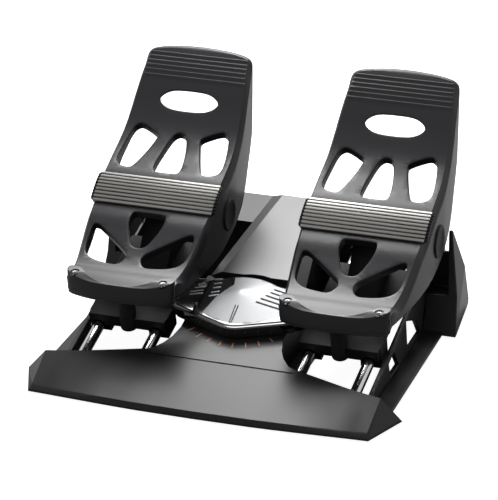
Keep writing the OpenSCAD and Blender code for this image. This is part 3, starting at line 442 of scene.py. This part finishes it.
pedalWindows = {
    "upper middle": [(0.018, 0.162), (0.036, 0.126), (0.05, 0.061), (0.056, 0.003), (0.05, -0.018),
                     (0.04, -0.025)],
    "upper outer": [(0.09, 0.152), (0.165, 0.184), (0.186, 0.175), (0.199, 0.156), (0.212, 0.076),
                    (0.215, 0.018), (0.2, -0.008), (0.158, -0.018), (0.138, -0.008), (0.108, 0.072),
                    (0.087, 0.137)],
    "lower middle": [(0.06, -0.196), (0.068, -0.205), (0.071, -0.246), (0.041, -0.312), (0.026, -0.331),
                     (0.012, -0.337)],
    "lower outer": [(0.194, -0.262), (0.203, -0.268), (0.206, -0.288), (0.204, -0.36), (0.187, -0.392),
                    (0.148, -0.416), (0.068, -0.428), (0.048, -0.42), (0.031, -0.391), (0.033, -0.371),
                    (0.045, -0.352), (0.17, -0.27)],
    "lens": [(0.055, 0.2295), (0.098, 0.239), (0.123, 0.2555), (0.112, 0.2665), (0.085, 0.2785),
             (0.045, 0.283)],
}


def faceHeight(y):
    return heightAt(pedalLook["face"], y / pedalLength) * pedalLength


def windowSlope(y):
    return math.radians(next(slope for end, slope in pedalLook["rim slopes"] if y / pedalLength < end))


def windowLoops():
    loops = []
    for name, half in pedalWindows.items():
        points = [Vector(p) * pedalLength for p in half]
        if "outer" in name:
            for turn in (1, -1):
                loops.append([Vector((turn * p.x, p.y)) for p in points])
        else:
            loops.append(points + [Vector((-p.x, p.y)) for p in reversed(points)])
    return [evenLoop(roundedLoop(loop), pedalLook["window steps"]) for loop in loops]


# The rounded outline of a pedal's piece, from the shares in its dictionary
def pedalOutline(look):
    half = [(x * pedalHalf, y * pedalLength) for x, y in look["outline"]]
    return evenLoop(roundedLoop(both(half)), look["outline steps"])


# 0 before the span of the pedal's length, 1 past it, and smooth between
def blendOver(y, span):
    start, end = span
    t = min(max((y / pedalLength - start) / (end - start), 0), 1)
    return t * t * (3 - 2 * t)


def pedalMesh():
    look = pedalLook
    outline = pedalOutline(look)
    wide, deep = look["edge roll size"]
    edgeRings = [(wide * inset, deep * drop) for inset, drop in look["edge roll"]]
    holeRings = [(inset, drop + (drop > 0) * 1e-5) for inset, drop in quarterRound(look["rim round"])]
    ribHalf, ribHigh = look["rib"]
    first, last, count = look["ribs"]
    ribPlaces = [(first + (last - first) * i / (count - 1)) * pedalLength for i in range(count)]
    cutsY = cellCuts(*look["cells y"]) + [p + d * ribHalf for p in ribPlaces for d in look["rib cuts"]]
    bm = flatSheet(outline, edgeRings, windowLoops(), holeRings, cellCuts(*look["cells x"]), cutsY)
    rims = [e for e in bm.edges if e.is_boundary and e.verts[0].co.z < 0 and e.verts[1].co.z < 0]
    lensStart = look["lens from"] * pedalLength

    def rimEnd(co):
        return Vector((co.x, co.y, -look["lens rim" if co.y > lensStart else "rim depth"]))

    skirt(bm, rims, rimEnd)
    sideLine = [(y, x) for x, y in look["outline"][5:-3]]  # the outline's side alone
    for v in bm.verts:
        x, y, down = v.co
        top = faceHeight(y)
        if down > 0:
            toe = 1 - (1 - look["toe roll share"]) * blendOver(y, look["toe span"])
            heel = 1 - (1 - look["heel roll share"]) * blendOver(-y, look["heel span"])
            v.co.z = top - down * toe * heel
        elif down < 0:
            slope = windowSlope(y)
            v.co = Vector((x, y - down * math.sin(slope), top + down * math.cos(slope)))
        else:
            near = min(abs(y - p) for p in ribPlaces)
            reach = heightAt(sideLine, y / pedalLength) * pedalHalf - wide
            edge = min(max((reach - abs(x)) / look["rib end"], 0), 1)
            v.co.z = top + ribHigh * max(0, 1 - (near / ribHalf) ** 2) * edge * (near < ribHalf)
    outer = [e for e in bm.edges if e.is_boundary and onOutline(e, outline)]
    bulges = {}

    def lower(share):
        def place(co):
            line = look["lower edge"] if co.x > 0 else look["left lower edge"]
            low = heightAt(line, co.y / pedalLength) * pedalLength
            middle = (look["toe wall half"] - abs(co.x) / pedalHalf) / look["toe wall blend"]
            if co.y > look["toe wall from"] * pedalLength and middle > 0:
                low += (look["toe wall end"] * pedalLength - low) * min(middle, 1)
            return Vector((co.x, co.y, co.z + (low - co.z) * share if share else co.z - look["side start"]))
        return place

    for share, bulge in look["side levels"]:
        outer = skirt(bm, outer, lower(share))
        for e in outer:
            for v in e.verts:
                bulges[v] = bulge
    for v, bulge in bulges.items():
        v.co.y += look["toe bulge share"] * pedalLength * bulge * blendOver(v.co.y, look["bulge span"])
    outwards(bm, upFaces=True)
    return bm


def onOutline(edge, outline):
    middle = (edge.verts[0].co + edge.verts[1].co) / 2
    return min((Vector((middle.x, middle.y)) - p).length for p in outline) < pedalLook["on outline"]


def bossMesh(bm):
    radius, length = pedalLook["boss"]
    for turn in (-1, 1):
        made = bmesh.ops.create_cone(bm, cap_ends=True, segments=32, radius1=radius, radius2=radius,
                                     depth=length)
        spot = Matrix.Translation((turn * (pedalHalf - length / 2 - pedalLook["wall"] / 2), 0, 0))
        bmesh.ops.transform(bm, matrix=spot @ Matrix.Rotation(math.pi / 2, 4, "Y"), verts=made["verts"])


shellMesh = pedalMesh()
for side in sides:
    piece("pedalFace_" + side, shellMesh.copy(), side + "_pedal", [looks["pedal_plastic"]],
          ["pedal_shell_" + side], wall=pedalLook["wall"], place=atHinge(side))
    bosses = bmesh.new()
    bossMesh(bosses)
    piece("hingeBoss_" + side, bosses, side + "_pedal", [looks["pedal_plastic"]],
          bevel=pedalLook["boss edge"], place=atHinge(side))
print("stage: pedals made")

# Heel rests

heelLook = {  # shares and metres as for the pedal
    "outline": [(0, -0.579), (0.36, -0.577), (0.56, -0.567), (0.74, -0.553), (0.825, -0.539), (0.85, -0.517),
                (0.82, -0.4985), (0.74, -0.4965), (0.66, -0.503), (0.61, -0.516), (0.56, -0.533),
                (0.5, -0.5455), (0.4, -0.5575), (0.265, -0.5655), (0.12, -0.5705), (0, -0.572)],
    "outline steps": 240,
    "top": [(-0.6, -0.1), (-0.58, -0.0915), (-0.566, -0.0855), (-0.552, -0.0765), (-0.538, -0.0695),
            (-0.52, -0.0673), (-0.5, -0.066), (-0.475, -0.065)],
    "wall": 0.0016,
    "floor": -0.0455,
    "wall rings": [  # each one's height above the floor, and how far out
        (0.0052, 0.0), (0.0046, -0.0007), (0.0041, 0.0), (0.0012, -0.0002), (0.0, -0.0014)],
    "front line": (-0.5746, 0.0735, 2.6),  # start, rise and power; the front wall lies before it
    "front ends": 0.83,  # or past this share of the half width
    "inner drop": 0.009,
    "painted highlight from": -0.0455 / 1.8,  # faces that look up above this height get a lighter, glossier copy of the pedal plastic, a painted highlight
    "cells x": (0.004, -16, 16), "cells y": (0.002, -82, -69),
    "round": 0.0004,
    "screw": (0.0485, -0.541, 0.0046),  # place from the middle, share along the pedal and radius
    "recess wall": 0.0045,
    "recess rings": [(0.0, 0.00001), (-0.0002, 0.0012), (-0.0017, 0.0013)],
    "screw head": [  # radius and height
        (0.0, -0.0020), (0.0012, -0.0020), (0.0014, -0.0007), (0.0027, -0.0005), (0.0031, -0.0009),
        (0.0031, -0.006), (0.0, -0.006)],
    "screw steps": 32,
}


def heelMesh():
    look = heelLook
    outline = pedalOutline(look)
    x, share, radius = look["screw"]
    circles = []
    for turn in (-1, 1):
        centre = Vector((turn * x, share * pedalLength))
        circles.append([centre + radius * Vector((math.cos(i * math.pi / 16), math.sin(i * math.pi / 16)))
                        for i in range(32)])
    bm = flatSheet(outline, quarterRound(look["round"]), circles, look["recess rings"],
                   cellCuts(*look["cells x"]), cellCuts(*look["cells y"]))
    outer = [e for e in bm.edges if e.is_boundary and min(v.co.z for v in e.verts) > 0]
    inner = [e for e in bm.edges if e.is_boundary and max(v.co.z for v in e.verts) < 0]
    skirt(bm, inner, lambda co: Vector((co.x, co.y, -look["recess wall"])))

    def topAt(y):
        return heightAt(look["top"], y / pedalLength) * pedalLength

    for v in bm.verts:
        v.co.z = topAt(v.co.y) - abs(v.co.z)
    start, rise, power = look["front line"]

    def onFront(co):
        x, y = abs(co.x) / pedalHalf, co.y / pedalLength
        return x > look["front ends"] or y < start + rise * max(x, 0.001) ** power

    def step(height, out):
        def place(co):
            if not onFront(co):
                return Vector((co.x, co.y, topAt(co.y) - look["inner drop"]))
            t = Vector((co.x, co.y * 0.6)).normalized() * out
            return Vector((co.x + t.x, co.y + t.y, look["floor"] + height))
        return place

    for height, out in look["wall rings"]:
        outer = skirt(bm, outer, step(height, out))
    outwards(bm, upFaces=True)
    for f in bm.faces:
        # Upward faces high on the heel rest get the lighter, glossier copy of the pedal plastic: painted highlight
        f.material_index = 1 if f.normal.z > 0.75 and f.calc_center_median().z > look["painted highlight from"] else 0
    return bm


def screwsMesh():
    look = heelLook
    x, share, _ = look["screw"]
    top = heightAt(look["top"], share) * pedalLength
    bm = bmesh.new()
    for turn in (-1, 1):
        centre = Vector((turn * x, share * pedalLength, 0))
        points = [centre + Vector((r, 0, top + z)) for r, z in look["screw head"]]
        turned(bm, points, centre, (0, 0, 1), look["screw steps"])
    outwards(bm)
    return bm


heelBase = heelMesh()
finishes = [looks["pedal_plastic"], looks["heel_top_painted_highlight"]]
for side in sides:
    piece("heelRest_" + side, heelBase.copy(), side + "_pedal", finishes,
          ["heel_rest_" + side], wall=heelLook["wall"], place=atHinge(side), angle=22)
    piece("heelScrews_" + side, screwsMesh(), side + "_pedal", [looks["screw_steel"]],
          ["heel_screws_" + side], place=atHinge(side))
print("stage: heel rests made")

# Tread bands

bandLook = {
    "from": (-0.176, 0.061), "to": (-0.057, 0.138),  # ends on the pedal, as shares of its length
    "ribs": 9, "height": 0.0026, "bulge": 0.0024,
    "groove": 0.0019, "painted shade below": 0.8,  # a groove's depth, and past which share of it its floor gets the near-black plastic as painted shade
    "profile": [  # one rib: share along it, and how far down into the groove
        (0.02, -1), (0.06, -0.35), (0.16, -0.04), (0.3, 0), (0.7, 0), (0.76, -0.35), (0.83, -1)],
    "metal half": 0.0668, "half": 0.0698, "under": 0.0006,
    "end rings": ((0.0, 0.97), (1.0, 0.86)),  # a dark end's rings: how far out, and how large
}


def bandMesh():
    look = bandLook
    start, end = (Vector((0, p[0] * pedalLength, p[1] * pedalLength)) for p in (look["from"], look["to"]))
    along = end - start
    up = Vector((0, -along.z, along.y)).normalized()
    line = [start - up * look["under"]]
    for i in range(look["ribs"]):
        for share, rise in look["profile"]:
            t = (i + share) / look["ribs"]
            height = look["height"] + look["bulge"] * (1 - (2 * t - 1) ** 2) + rise * look["groove"]
            line.append(start + along * t + up * height)
    line.append(end - up * look["under"])
    bm = bmesh.new()
    verts = [bm.verts.new((-look["metal half"], p.y, p.z)) for p in line]
    edges = [bm.edges.new((a, b)) for a, b in zip(verts, verts[1:])]
    edges.append(bm.edges.new((verts[-1], verts[0])))
    made = bmesh.ops.extrude_edge_only(bm, edges=edges)["geom"]
    for v in made:
        if isinstance(v, bmesh.types.BMVert):
            v.co.x = look["metal half"]
    ends = [e for e in bm.edges if e.is_boundary]
    middle = (start + end) / 2

    def capRing(x, shrink):
        def place(co):
            return Vector((x, middle.y + (co.y - middle.y) * shrink, middle.z + (co.z - middle.z) * shrink))
        return place

    for turn in (-1, 1):
        rim = [e for e in ends if all(v.co.x * turn > 0 for v in e.verts)]
        for reach, shrink in look["end rings"]:
            x = turn * (look["metal half"] + reach * (look["half"] - look["metal half"]))
            rim = skirt(bm, rim, capRing(x, shrink))
        bmesh.ops.edgeloop_fill(bm, edges=rim)
    outwards(bm)
    for f in bm.faces:
        spot = f.calc_center_median() - start
        t = spot.dot(along) / along.length_squared
        rise = spot.dot(up) - look["height"] - look["bulge"] * (1 - (2 * t - 1) ** 2)
        capOrPaintedShade = abs(spot.x) > look["metal half"] + 1e-5 or rise < -look["groove"] * look["painted shade below"]
        f.material_index = 1 if capOrPaintedShade else 0  # the caps are dark plastic; the grooves' floors are dark as painted shade
    return bm


finishes = [looks["tread_metal"], looks["inner_plastic"]]
for side in sides:
    piece("treadBand_" + side + "_ribs", bandMesh(), side + "_pedal", finishes,
          ["tread_band_" + side], place=atHinge(side), angle=40)
print("stage: tread bands made")

# Hinge caps

capLook = {
    "profile": [  # radius, and how far out from the pedal's side
        (0.0, 0.0006), (0.012, 0.0008), (0.0142, 0.0015), (0.0162, 0.00195), (0.0175, 0.0016),
        (0.018, 0.0006), (0.018, 0.00002), (0.0, 0.00002)],
    "steps": 48,
}


def capsMesh():
    bm = bmesh.new()
    for turn in (1, -1):
        points = [(turn * (pedalHalf + out), radius, 0) for radius, out in capLook["profile"]]
        turned(bm, points, (0, 0, 0), (1, 0, 0), capLook["steps"])
    outwards(bm)
    return bm


for side in sides:
    piece("hingeCap_" + side, capsMesh(), side + "_pedal", [looks["inner_plastic"]],
          ["hinge_caps_" + side], place=atHinge(side))
print("stage: hinge caps made")

# Arm cover and plate, drawn in the rail frame round the arm's pivot

coverLook = {
    "half": 0.072,  # half the cover's width, and the outline's unit
    "outline": [(0, -0.735), (0.1, -0.725), (0.25, -0.67), (0.6, -0.54), (0.97, -0.4), (1, -0.36),
                (0.975, -0.1), (0.95, 0.26), (0.9, 0.31), (0.42, 0.36), (0.36, 0.4), (0.2, 0.46), (0, 0.48)],
    "outline steps": 240, "wall": 0.0016,
    "bottom": 0.0136, "rim": 0.026, "round": 0.0016,  # heights above the rails, and the rim's rounding
    "tip bottom": 0.0154, "tip reach": 0.0715,  # past this reach the cover clears the carriages
    "plate inset": 0.0042, "plate top": 0.0342, "plate rim": 0.02635,
    "flat radius": 0.003, "cone reach": 0.049, "cone width": 0.86, "cone bend": 0.55,  # the plate's soft cone
}


def coverLoop(inset):
    half = [(x * coverLook["half"], y * coverLook["half"]) for x, y in coverLook["outline"]]
    return movedLoop(evenLoop(roundedLoop(both(half)), coverLook["outline steps"]), -inset)


def coverMesh():
    look = coverLook
    inset = look["plate inset"]
    edgeRings = [(0.006, 0.0003), (inset - 0.0002, 0.0003), (inset - 0.0008, 0.00001)]  # the plate's seat
    edgeRings += [(away, drop + 0.00001) for away, drop in quarterRound(look["round"])]
    bm = flatSheet(coverLoop(0), edgeRings)
    for v in bm.verts:
        v.co.z = look["rim"] - v.co.z
    outer = [e for e in bm.edges if e.is_boundary]

    def down(co):
        far = Vector((co.x, co.y)).length > look["tip reach"]
        return Vector((co.x, co.y, look["tip bottom"] if far else look["bottom"]))

    skirt(bm, outer, down)
    outwards(bm, upFaces=True)
    return bm


# Height of the silver plate
def crown(x, y):
    look = coverLook
    away = math.hypot(x * look["cone width"], y)
    t = min(max((away - look["flat radius"]) / look["cone reach"], 0), 1)
    fall = t * (2 - t) * look["cone bend"] + t * t * (1 - look["cone bend"])
    return look["plate rim"] + (look["plate top"] - look["plate rim"]) * (1 - fall)


plateLook = {
    "black": [(-0.037, -0.044), (-0.027, -0.010), (-0.014, 0.012), (-0.020, 0.036), (-0.08, 0.036),
              (-0.08, -0.0245), (-0.0435, -0.0195), (-0.047, -0.036)],
    "cut within": 0.075,  # sides of the black part that lie farther out need no cut
    "edge": [(0.0009, 0.0), (0.0003, 0.00015), (0.0, 0.0005)],
    "cells": (0.004, -18, 18),
}


def inside(point, polygon):
    hit = False
    for (ax, ay), (bx, by) in zip(polygon, polygon[1:] + polygon[:1]):
        if (ay > point.y) != (by > point.y) and point.x < (bx - ax) * (point.y - ay) / (by - ay) + ax:
            hit = not hit
    return hit


def plateMesh():
    cuts = cellCuts(*plateLook["cells"])
    bm = flatSheet(coverLoop(coverLook["plate inset"]), plateLook["edge"], cutsX=cuts, cutsY=cuts)
    corners = [Vector((x, y, 0)) for x, y in plateLook["black"]]
    for a, b in zip(corners, corners[1:] + corners[:1]):
        if max(abs(a.x), abs(b.x)) < plateLook["cut within"]:
            square = Vector((b.y - a.y, a.x - b.x, 0)).normalized()
            geom = bm.verts[:] + bm.edges[:] + bm.faces[:]
            bmesh.ops.bisect_plane(bm, geom=geom, dist=1e-7, plane_co=a, plane_no=square)
    for f in bm.faces:
        f.material_index = 1 if inside(f.calc_center_median(), plateLook["black"]) else 0
    for v in bm.verts:
        v.co.z = crown(v.co.x, v.co.y) - v.co.z
    rim = [e for e in bm.edges if e.is_boundary]
    skirt(bm, rim, lambda co: Vector((co.x, co.y, coverLook["rim"] + 0.0001)))
    outwards(bm, upFaces=True)
    return bm


armPlace = railFrame @ Matrix.Translation((0, frameFit["arm pivot"], 0))
piece("hubCover", coverMesh(), "arm", [looks["gloss_black"]], ["arm_cover"],
      wall=coverLook["wall"], place=armPlace, angle=50)
piece("hubPlate", plateMesh(), "arm", [looks["silver_gloss"], looks["gloss_black"]],
      ["arm_plate"], place=armPlace, angle=50)

barLook = {  # each bar's two ends, from the arm's pivot
    "left outer": [(-0.0592, -0.0085, -0.0434, -0.0050), (-0.0585, -0.0035, -0.0445, 0.0000),
                   (-0.0555, 0.0035, -0.0445, 0.0060), (-0.0535, 0.0100, -0.0455, 0.0118)],
    "left inner": [(-0.0351, -0.0099, -0.0252, -0.0070), (-0.0345, -0.0040, -0.0262, -0.0015),
                   (-0.0350, 0.0040, -0.0270, 0.0062), (-0.0365, 0.0120, -0.0285, 0.0140),
                   (-0.0385, 0.0200, -0.0300, 0.0215)],
    "right": [(0.0175, -0.0110, 0.0470, -0.0142), (0.0205, -0.0045, 0.0470, -0.0075),
              (0.0240, 0.0020, 0.0450, -0.0005), (0.0270, 0.0085, 0.0430, 0.0065),
              (0.0290, 0.0150, 0.0410, 0.0135)],
    "pointer": [(-0.0022, -0.0205, -0.0016, -0.0455), (0.0008, -0.0205, 0.0004, -0.0455)],
    "half width": 0.0006, "pointer share": 0.7, "lift": 0.0007, "thick": 0.0005, "steps": 6,
}


# Thin flat bars that lie on the plate, each from one point to another
def barsMesh(bars, halfWidth):
    bm = bmesh.new()
    for x0, y0, x1, y1 in bars:
        a, b = Vector((x0, y0, 0)), Vector((x1, y1, 0))
        across = Vector((a.y - b.y, b.x - a.x, 0)).normalized() * halfWidth
        ring = []
        for i in range(barLook["steps"] + 1):
            p = a.lerp(b, i / barLook["steps"])
            ring.append([p - across, p + across])
        verts = [[bm.verts.new((q.x, q.y, crown(q.x, q.y) + barLook["lift"])) for q in pair] for pair in ring]
        for (p, q), (r, s) in zip(verts, verts[1:]):
            bm.faces.new((p, q, s, r))
    outwards(bm, upFaces=True)
    return bm


barGroups = (
    ("plateBarsLeftOuter", "left outer", whiteBar),
    ("plateBarsLeftInner", "left inner", looks["steel"]),
    ("plateBarsRight", "right", darkGroove),
    ("pointerLines", "pointer", darkGroove),
)
for name, key, material in barGroups:
    width = barLook["half width"] * (barLook["pointer share"] if key == "pointer" else 1)
    piece(name, barsMesh(barLook[key], width), "arm", [material], wall=barLook["thick"],
          place=armPlace)
print("stage: hub made")

# Scale ticks on the console's front

tickLook = {
    "count": 8, "fan": 43.4, "radius": 0.0595, "length": 0.008, "half width": 0.0008, "thick": 0.0003,
    "height": 0.01243,  # above the rails, on the console's front
}


def ticksMesh():
    look = tickLook
    bm = bmesh.new()
    for i in range(look["count"]):
        turn = Matrix.Rotation(math.radians(look["fan"] * (2 * i / (look["count"] - 1) - 1)), 3, "Z")
        near, far, half = -look["radius"], -look["radius"] - look["length"], look["half width"]
        corners = [(-half, far), (half, far), (half * 0.5, near), (-half * 0.5, near)]
        bottom = [bm.verts.new(turn @ Vector((x, y, 0))) for x, y in corners]
        bmesh.ops.extrude_face_region(bm, geom=[bm.faces.new(bottom)])
    bm.verts.index_update()
    for v in bm.verts:
        if v.index % 8 > 3:  # of a tick's eight corners, the last four are its top
            v.co.z = look["thick"]
    outwards(bm)
    return bm


piece("scaleTicks_fan", ticksMesh(), "base", [looks["tick_print"]], ["scale_ticks"],
      place=armPlace @ Matrix.Translation((0, 0, tickLook["height"])))
print("stage: ticks made")

# Casings, carriages and small parts, which keep their CAD shape with softened edges

softened = {  # each node's rounding, where 0 only smooths it
    "front_casing": 0.0016, "console_cover": 0.0018, "rear_casing": 0.0014, "end_cap_left": 0.0014,
    "end_cap_right": 0.0014, "side_web_left": 0.0012, "side_web_right": 0.0012, "floor_strap_left": 0.001,
    "floor_strap_right": 0.001, "rail_bumpers": 0.0006, "rail_left_outer": 0.0004, "rail_left_inner": 0.0004,
    "rail_right_inner": 0.0004, "rail_right_outer": 0.0004, "cable_gland": 0.0006, "rudder_arm": 0.0008,
    "hub_base": 0.001, "arm_post": 0.0005, "front_crossbar": 0.0008, "rear_crossbar": 0.0008,
    "base_pan": 0.0003,
}
for side in sides:
    softened["carriage_" + side] = 0.0012
    softened["pedal_tower_" + side] = 0.0012
    softened["brake_stop_" + side] = 0.0014
    softened["hinge_shaft_" + side] = 0.0004
    softened["slide_bushes_" + side] = 0.0004
    softened["brake_sensor_" + side] = 0.0005
    softened["brake_spring_" + side] = 0.0
    softened["link_pin_" + side] = 0.0004
softened["centring_spring"] = 0.0
ownFinish = {"console_cover": "console_plastic_painted_highlight", "base_pan": "inner_plastic"}  # finishes unlike their slots': the console cover's is a lighter, glossier copy of the casing plastic, a painted highlight; the base pan's is the near-black inner plastic, partly painted shade
for node, width in softened.items():
    look = looks[ownFinish.get(node, slotOf[node])]
    angle = softLook["casing angle" if node == "front_casing" else "edge angle"]
    softCopy(node, bodyOf[node], look, width, angle)
print("stage: casings softened")

# Floor, lights and camera

stageLook = {"floor": 0.62, "floor size": 6, "floor glow": 0.95, "ambient": 0.16}
lightLook = {  # place, aim, size and watts
    "topBox": ((-0.2, 0.42, 0.92), (0, 0.02, 0.08), (0.34, 0.46), 6.5),
    "rearBox": ((-0.28, 0.95, 1.13), (0, 0.05, 0.1), (0.75, 0.36), 12.0),
    "leftBox": ((-1.2, -0.9, 1.0), (0, 0, 0.1), (0.9, 0.9), 0.7),
    "rightBox": ((1.3, 0.4, 0.7), (0, 0, 0.1), (0.6, 0.8), 0.2),
}


# White to the camera and in reflections, and dim as a light
def whiteWorld():
    world = bpy.data.worlds.new("studio")
    bpy.context.scene.world = world
    world.use_nodes = True
    nodes, links = world.node_tree.nodes, world.node_tree.links
    rays = nodes.new("ShaderNodeLightPath")
    seen = rays.outputs["Is Camera Ray"]
    for kind in ("Is Transmission Ray", "Is Glossy Ray"):
        either = nodes.new("ShaderNodeMath")
        either.operation = "MAXIMUM"
        links.new(seen, either.inputs[0])
        links.new(rays.outputs[kind], either.inputs[1])
        seen = either.outputs[0]
    level = nodes.new("ShaderNodeMapRange")
    level.inputs["To Min"].default_value = stageLook["ambient"]
    level.inputs["To Max"].default_value = 1.0
    links.new(seen, level.inputs["Value"])
    links.new(level.outputs["Result"], nodes["Background"].inputs["Strength"])
    nodes["Background"].inputs["Color"].default_value = (1, 1, 1, 1)


def floorMaterial():
    material = bpy.data.materials.new("paleFloor")
    material.use_nodes = True
    nodes, links = material.node_tree.nodes, material.node_tree.links
    shader = nodes["Principled BSDF"]
    shader.inputs["Base Color"].default_value = (*[stageLook["floor"]] * 3, 1)
    shader.inputs["Roughness"].default_value = 0.9
    shader.inputs["Specular IOR Level"].default_value = 0.1
    rays = nodes.new("ShaderNodeLightPath")
    glow = nodes.new("ShaderNodeMath")
    glow.operation = "MULTIPLY"
    glow.inputs[1].default_value = stageLook["floor glow"]
    links.new(rays.outputs["Is Camera Ray"], glow.inputs[0])
    shader.inputs["Emission Color"].default_value = (1, 1, 1, 1)
    links.new(glow.outputs[0], shader.inputs["Emission Strength"])
    return material


floorMesh = bmesh.new()
bmesh.ops.create_grid(floorMesh, x_segments=1, y_segments=1, size=stageLook["floor size"])
mesh = bpy.data.meshes.new("floor")
floorMesh.to_mesh(mesh)
mesh.materials.append(floorMaterial())
floor = linked("floor", mesh)
whiteWorld()


def softbox(name, place, aim, size, power):
    light = bpy.data.lights.new(name, "AREA")
    light.shape = "RECTANGLE"
    light.size, light.size_y = size
    light.energy = power
    obj = linked(name, light)
    obj.location = place
    obj.rotation_euler = (Vector(aim) - Vector(place)).to_track_quat("-Z", "Y").to_euler()


for name, values in lightLook.items():
    softbox(name, *values)
print("stage: floor and lights set")

cameraLook = {
    "azimuth": 18.28, "elevation": 23.41, "distance": 3.2, "lens": 218.394,
    "target": (-0.00792, 0.19781, 0.10216),  # from the middle of the front edge
}
camera = bpy.data.cameras.new("camera")
camera.lens = cameraLook["lens"]
camera.sensor_width = 36
camera.clip_start = 0.1
camera.clip_end = 50
cameraObject = linked("camera", camera)
az, el = math.radians(cameraLook["azimuth"]), math.radians(cameraLook["elevation"])
back = Vector((math.sin(az) * math.cos(el), -math.cos(az) * math.cos(el), math.sin(el)))
right = Vector((math.cos(az), math.sin(az), 0))
up = back.cross(right)
target = Vector(cameraLook["target"]) + Vector((0, frontEdge, 0))
turn = Matrix((right, up, back)).transposed().to_4x4()
cameraObject.matrix_world = Matrix.Translation(target + back * cameraLook["distance"]) @ turn
bpy.context.scene.camera = cameraObject
bpy.context.scene.view_settings.view_transform = "Standard"
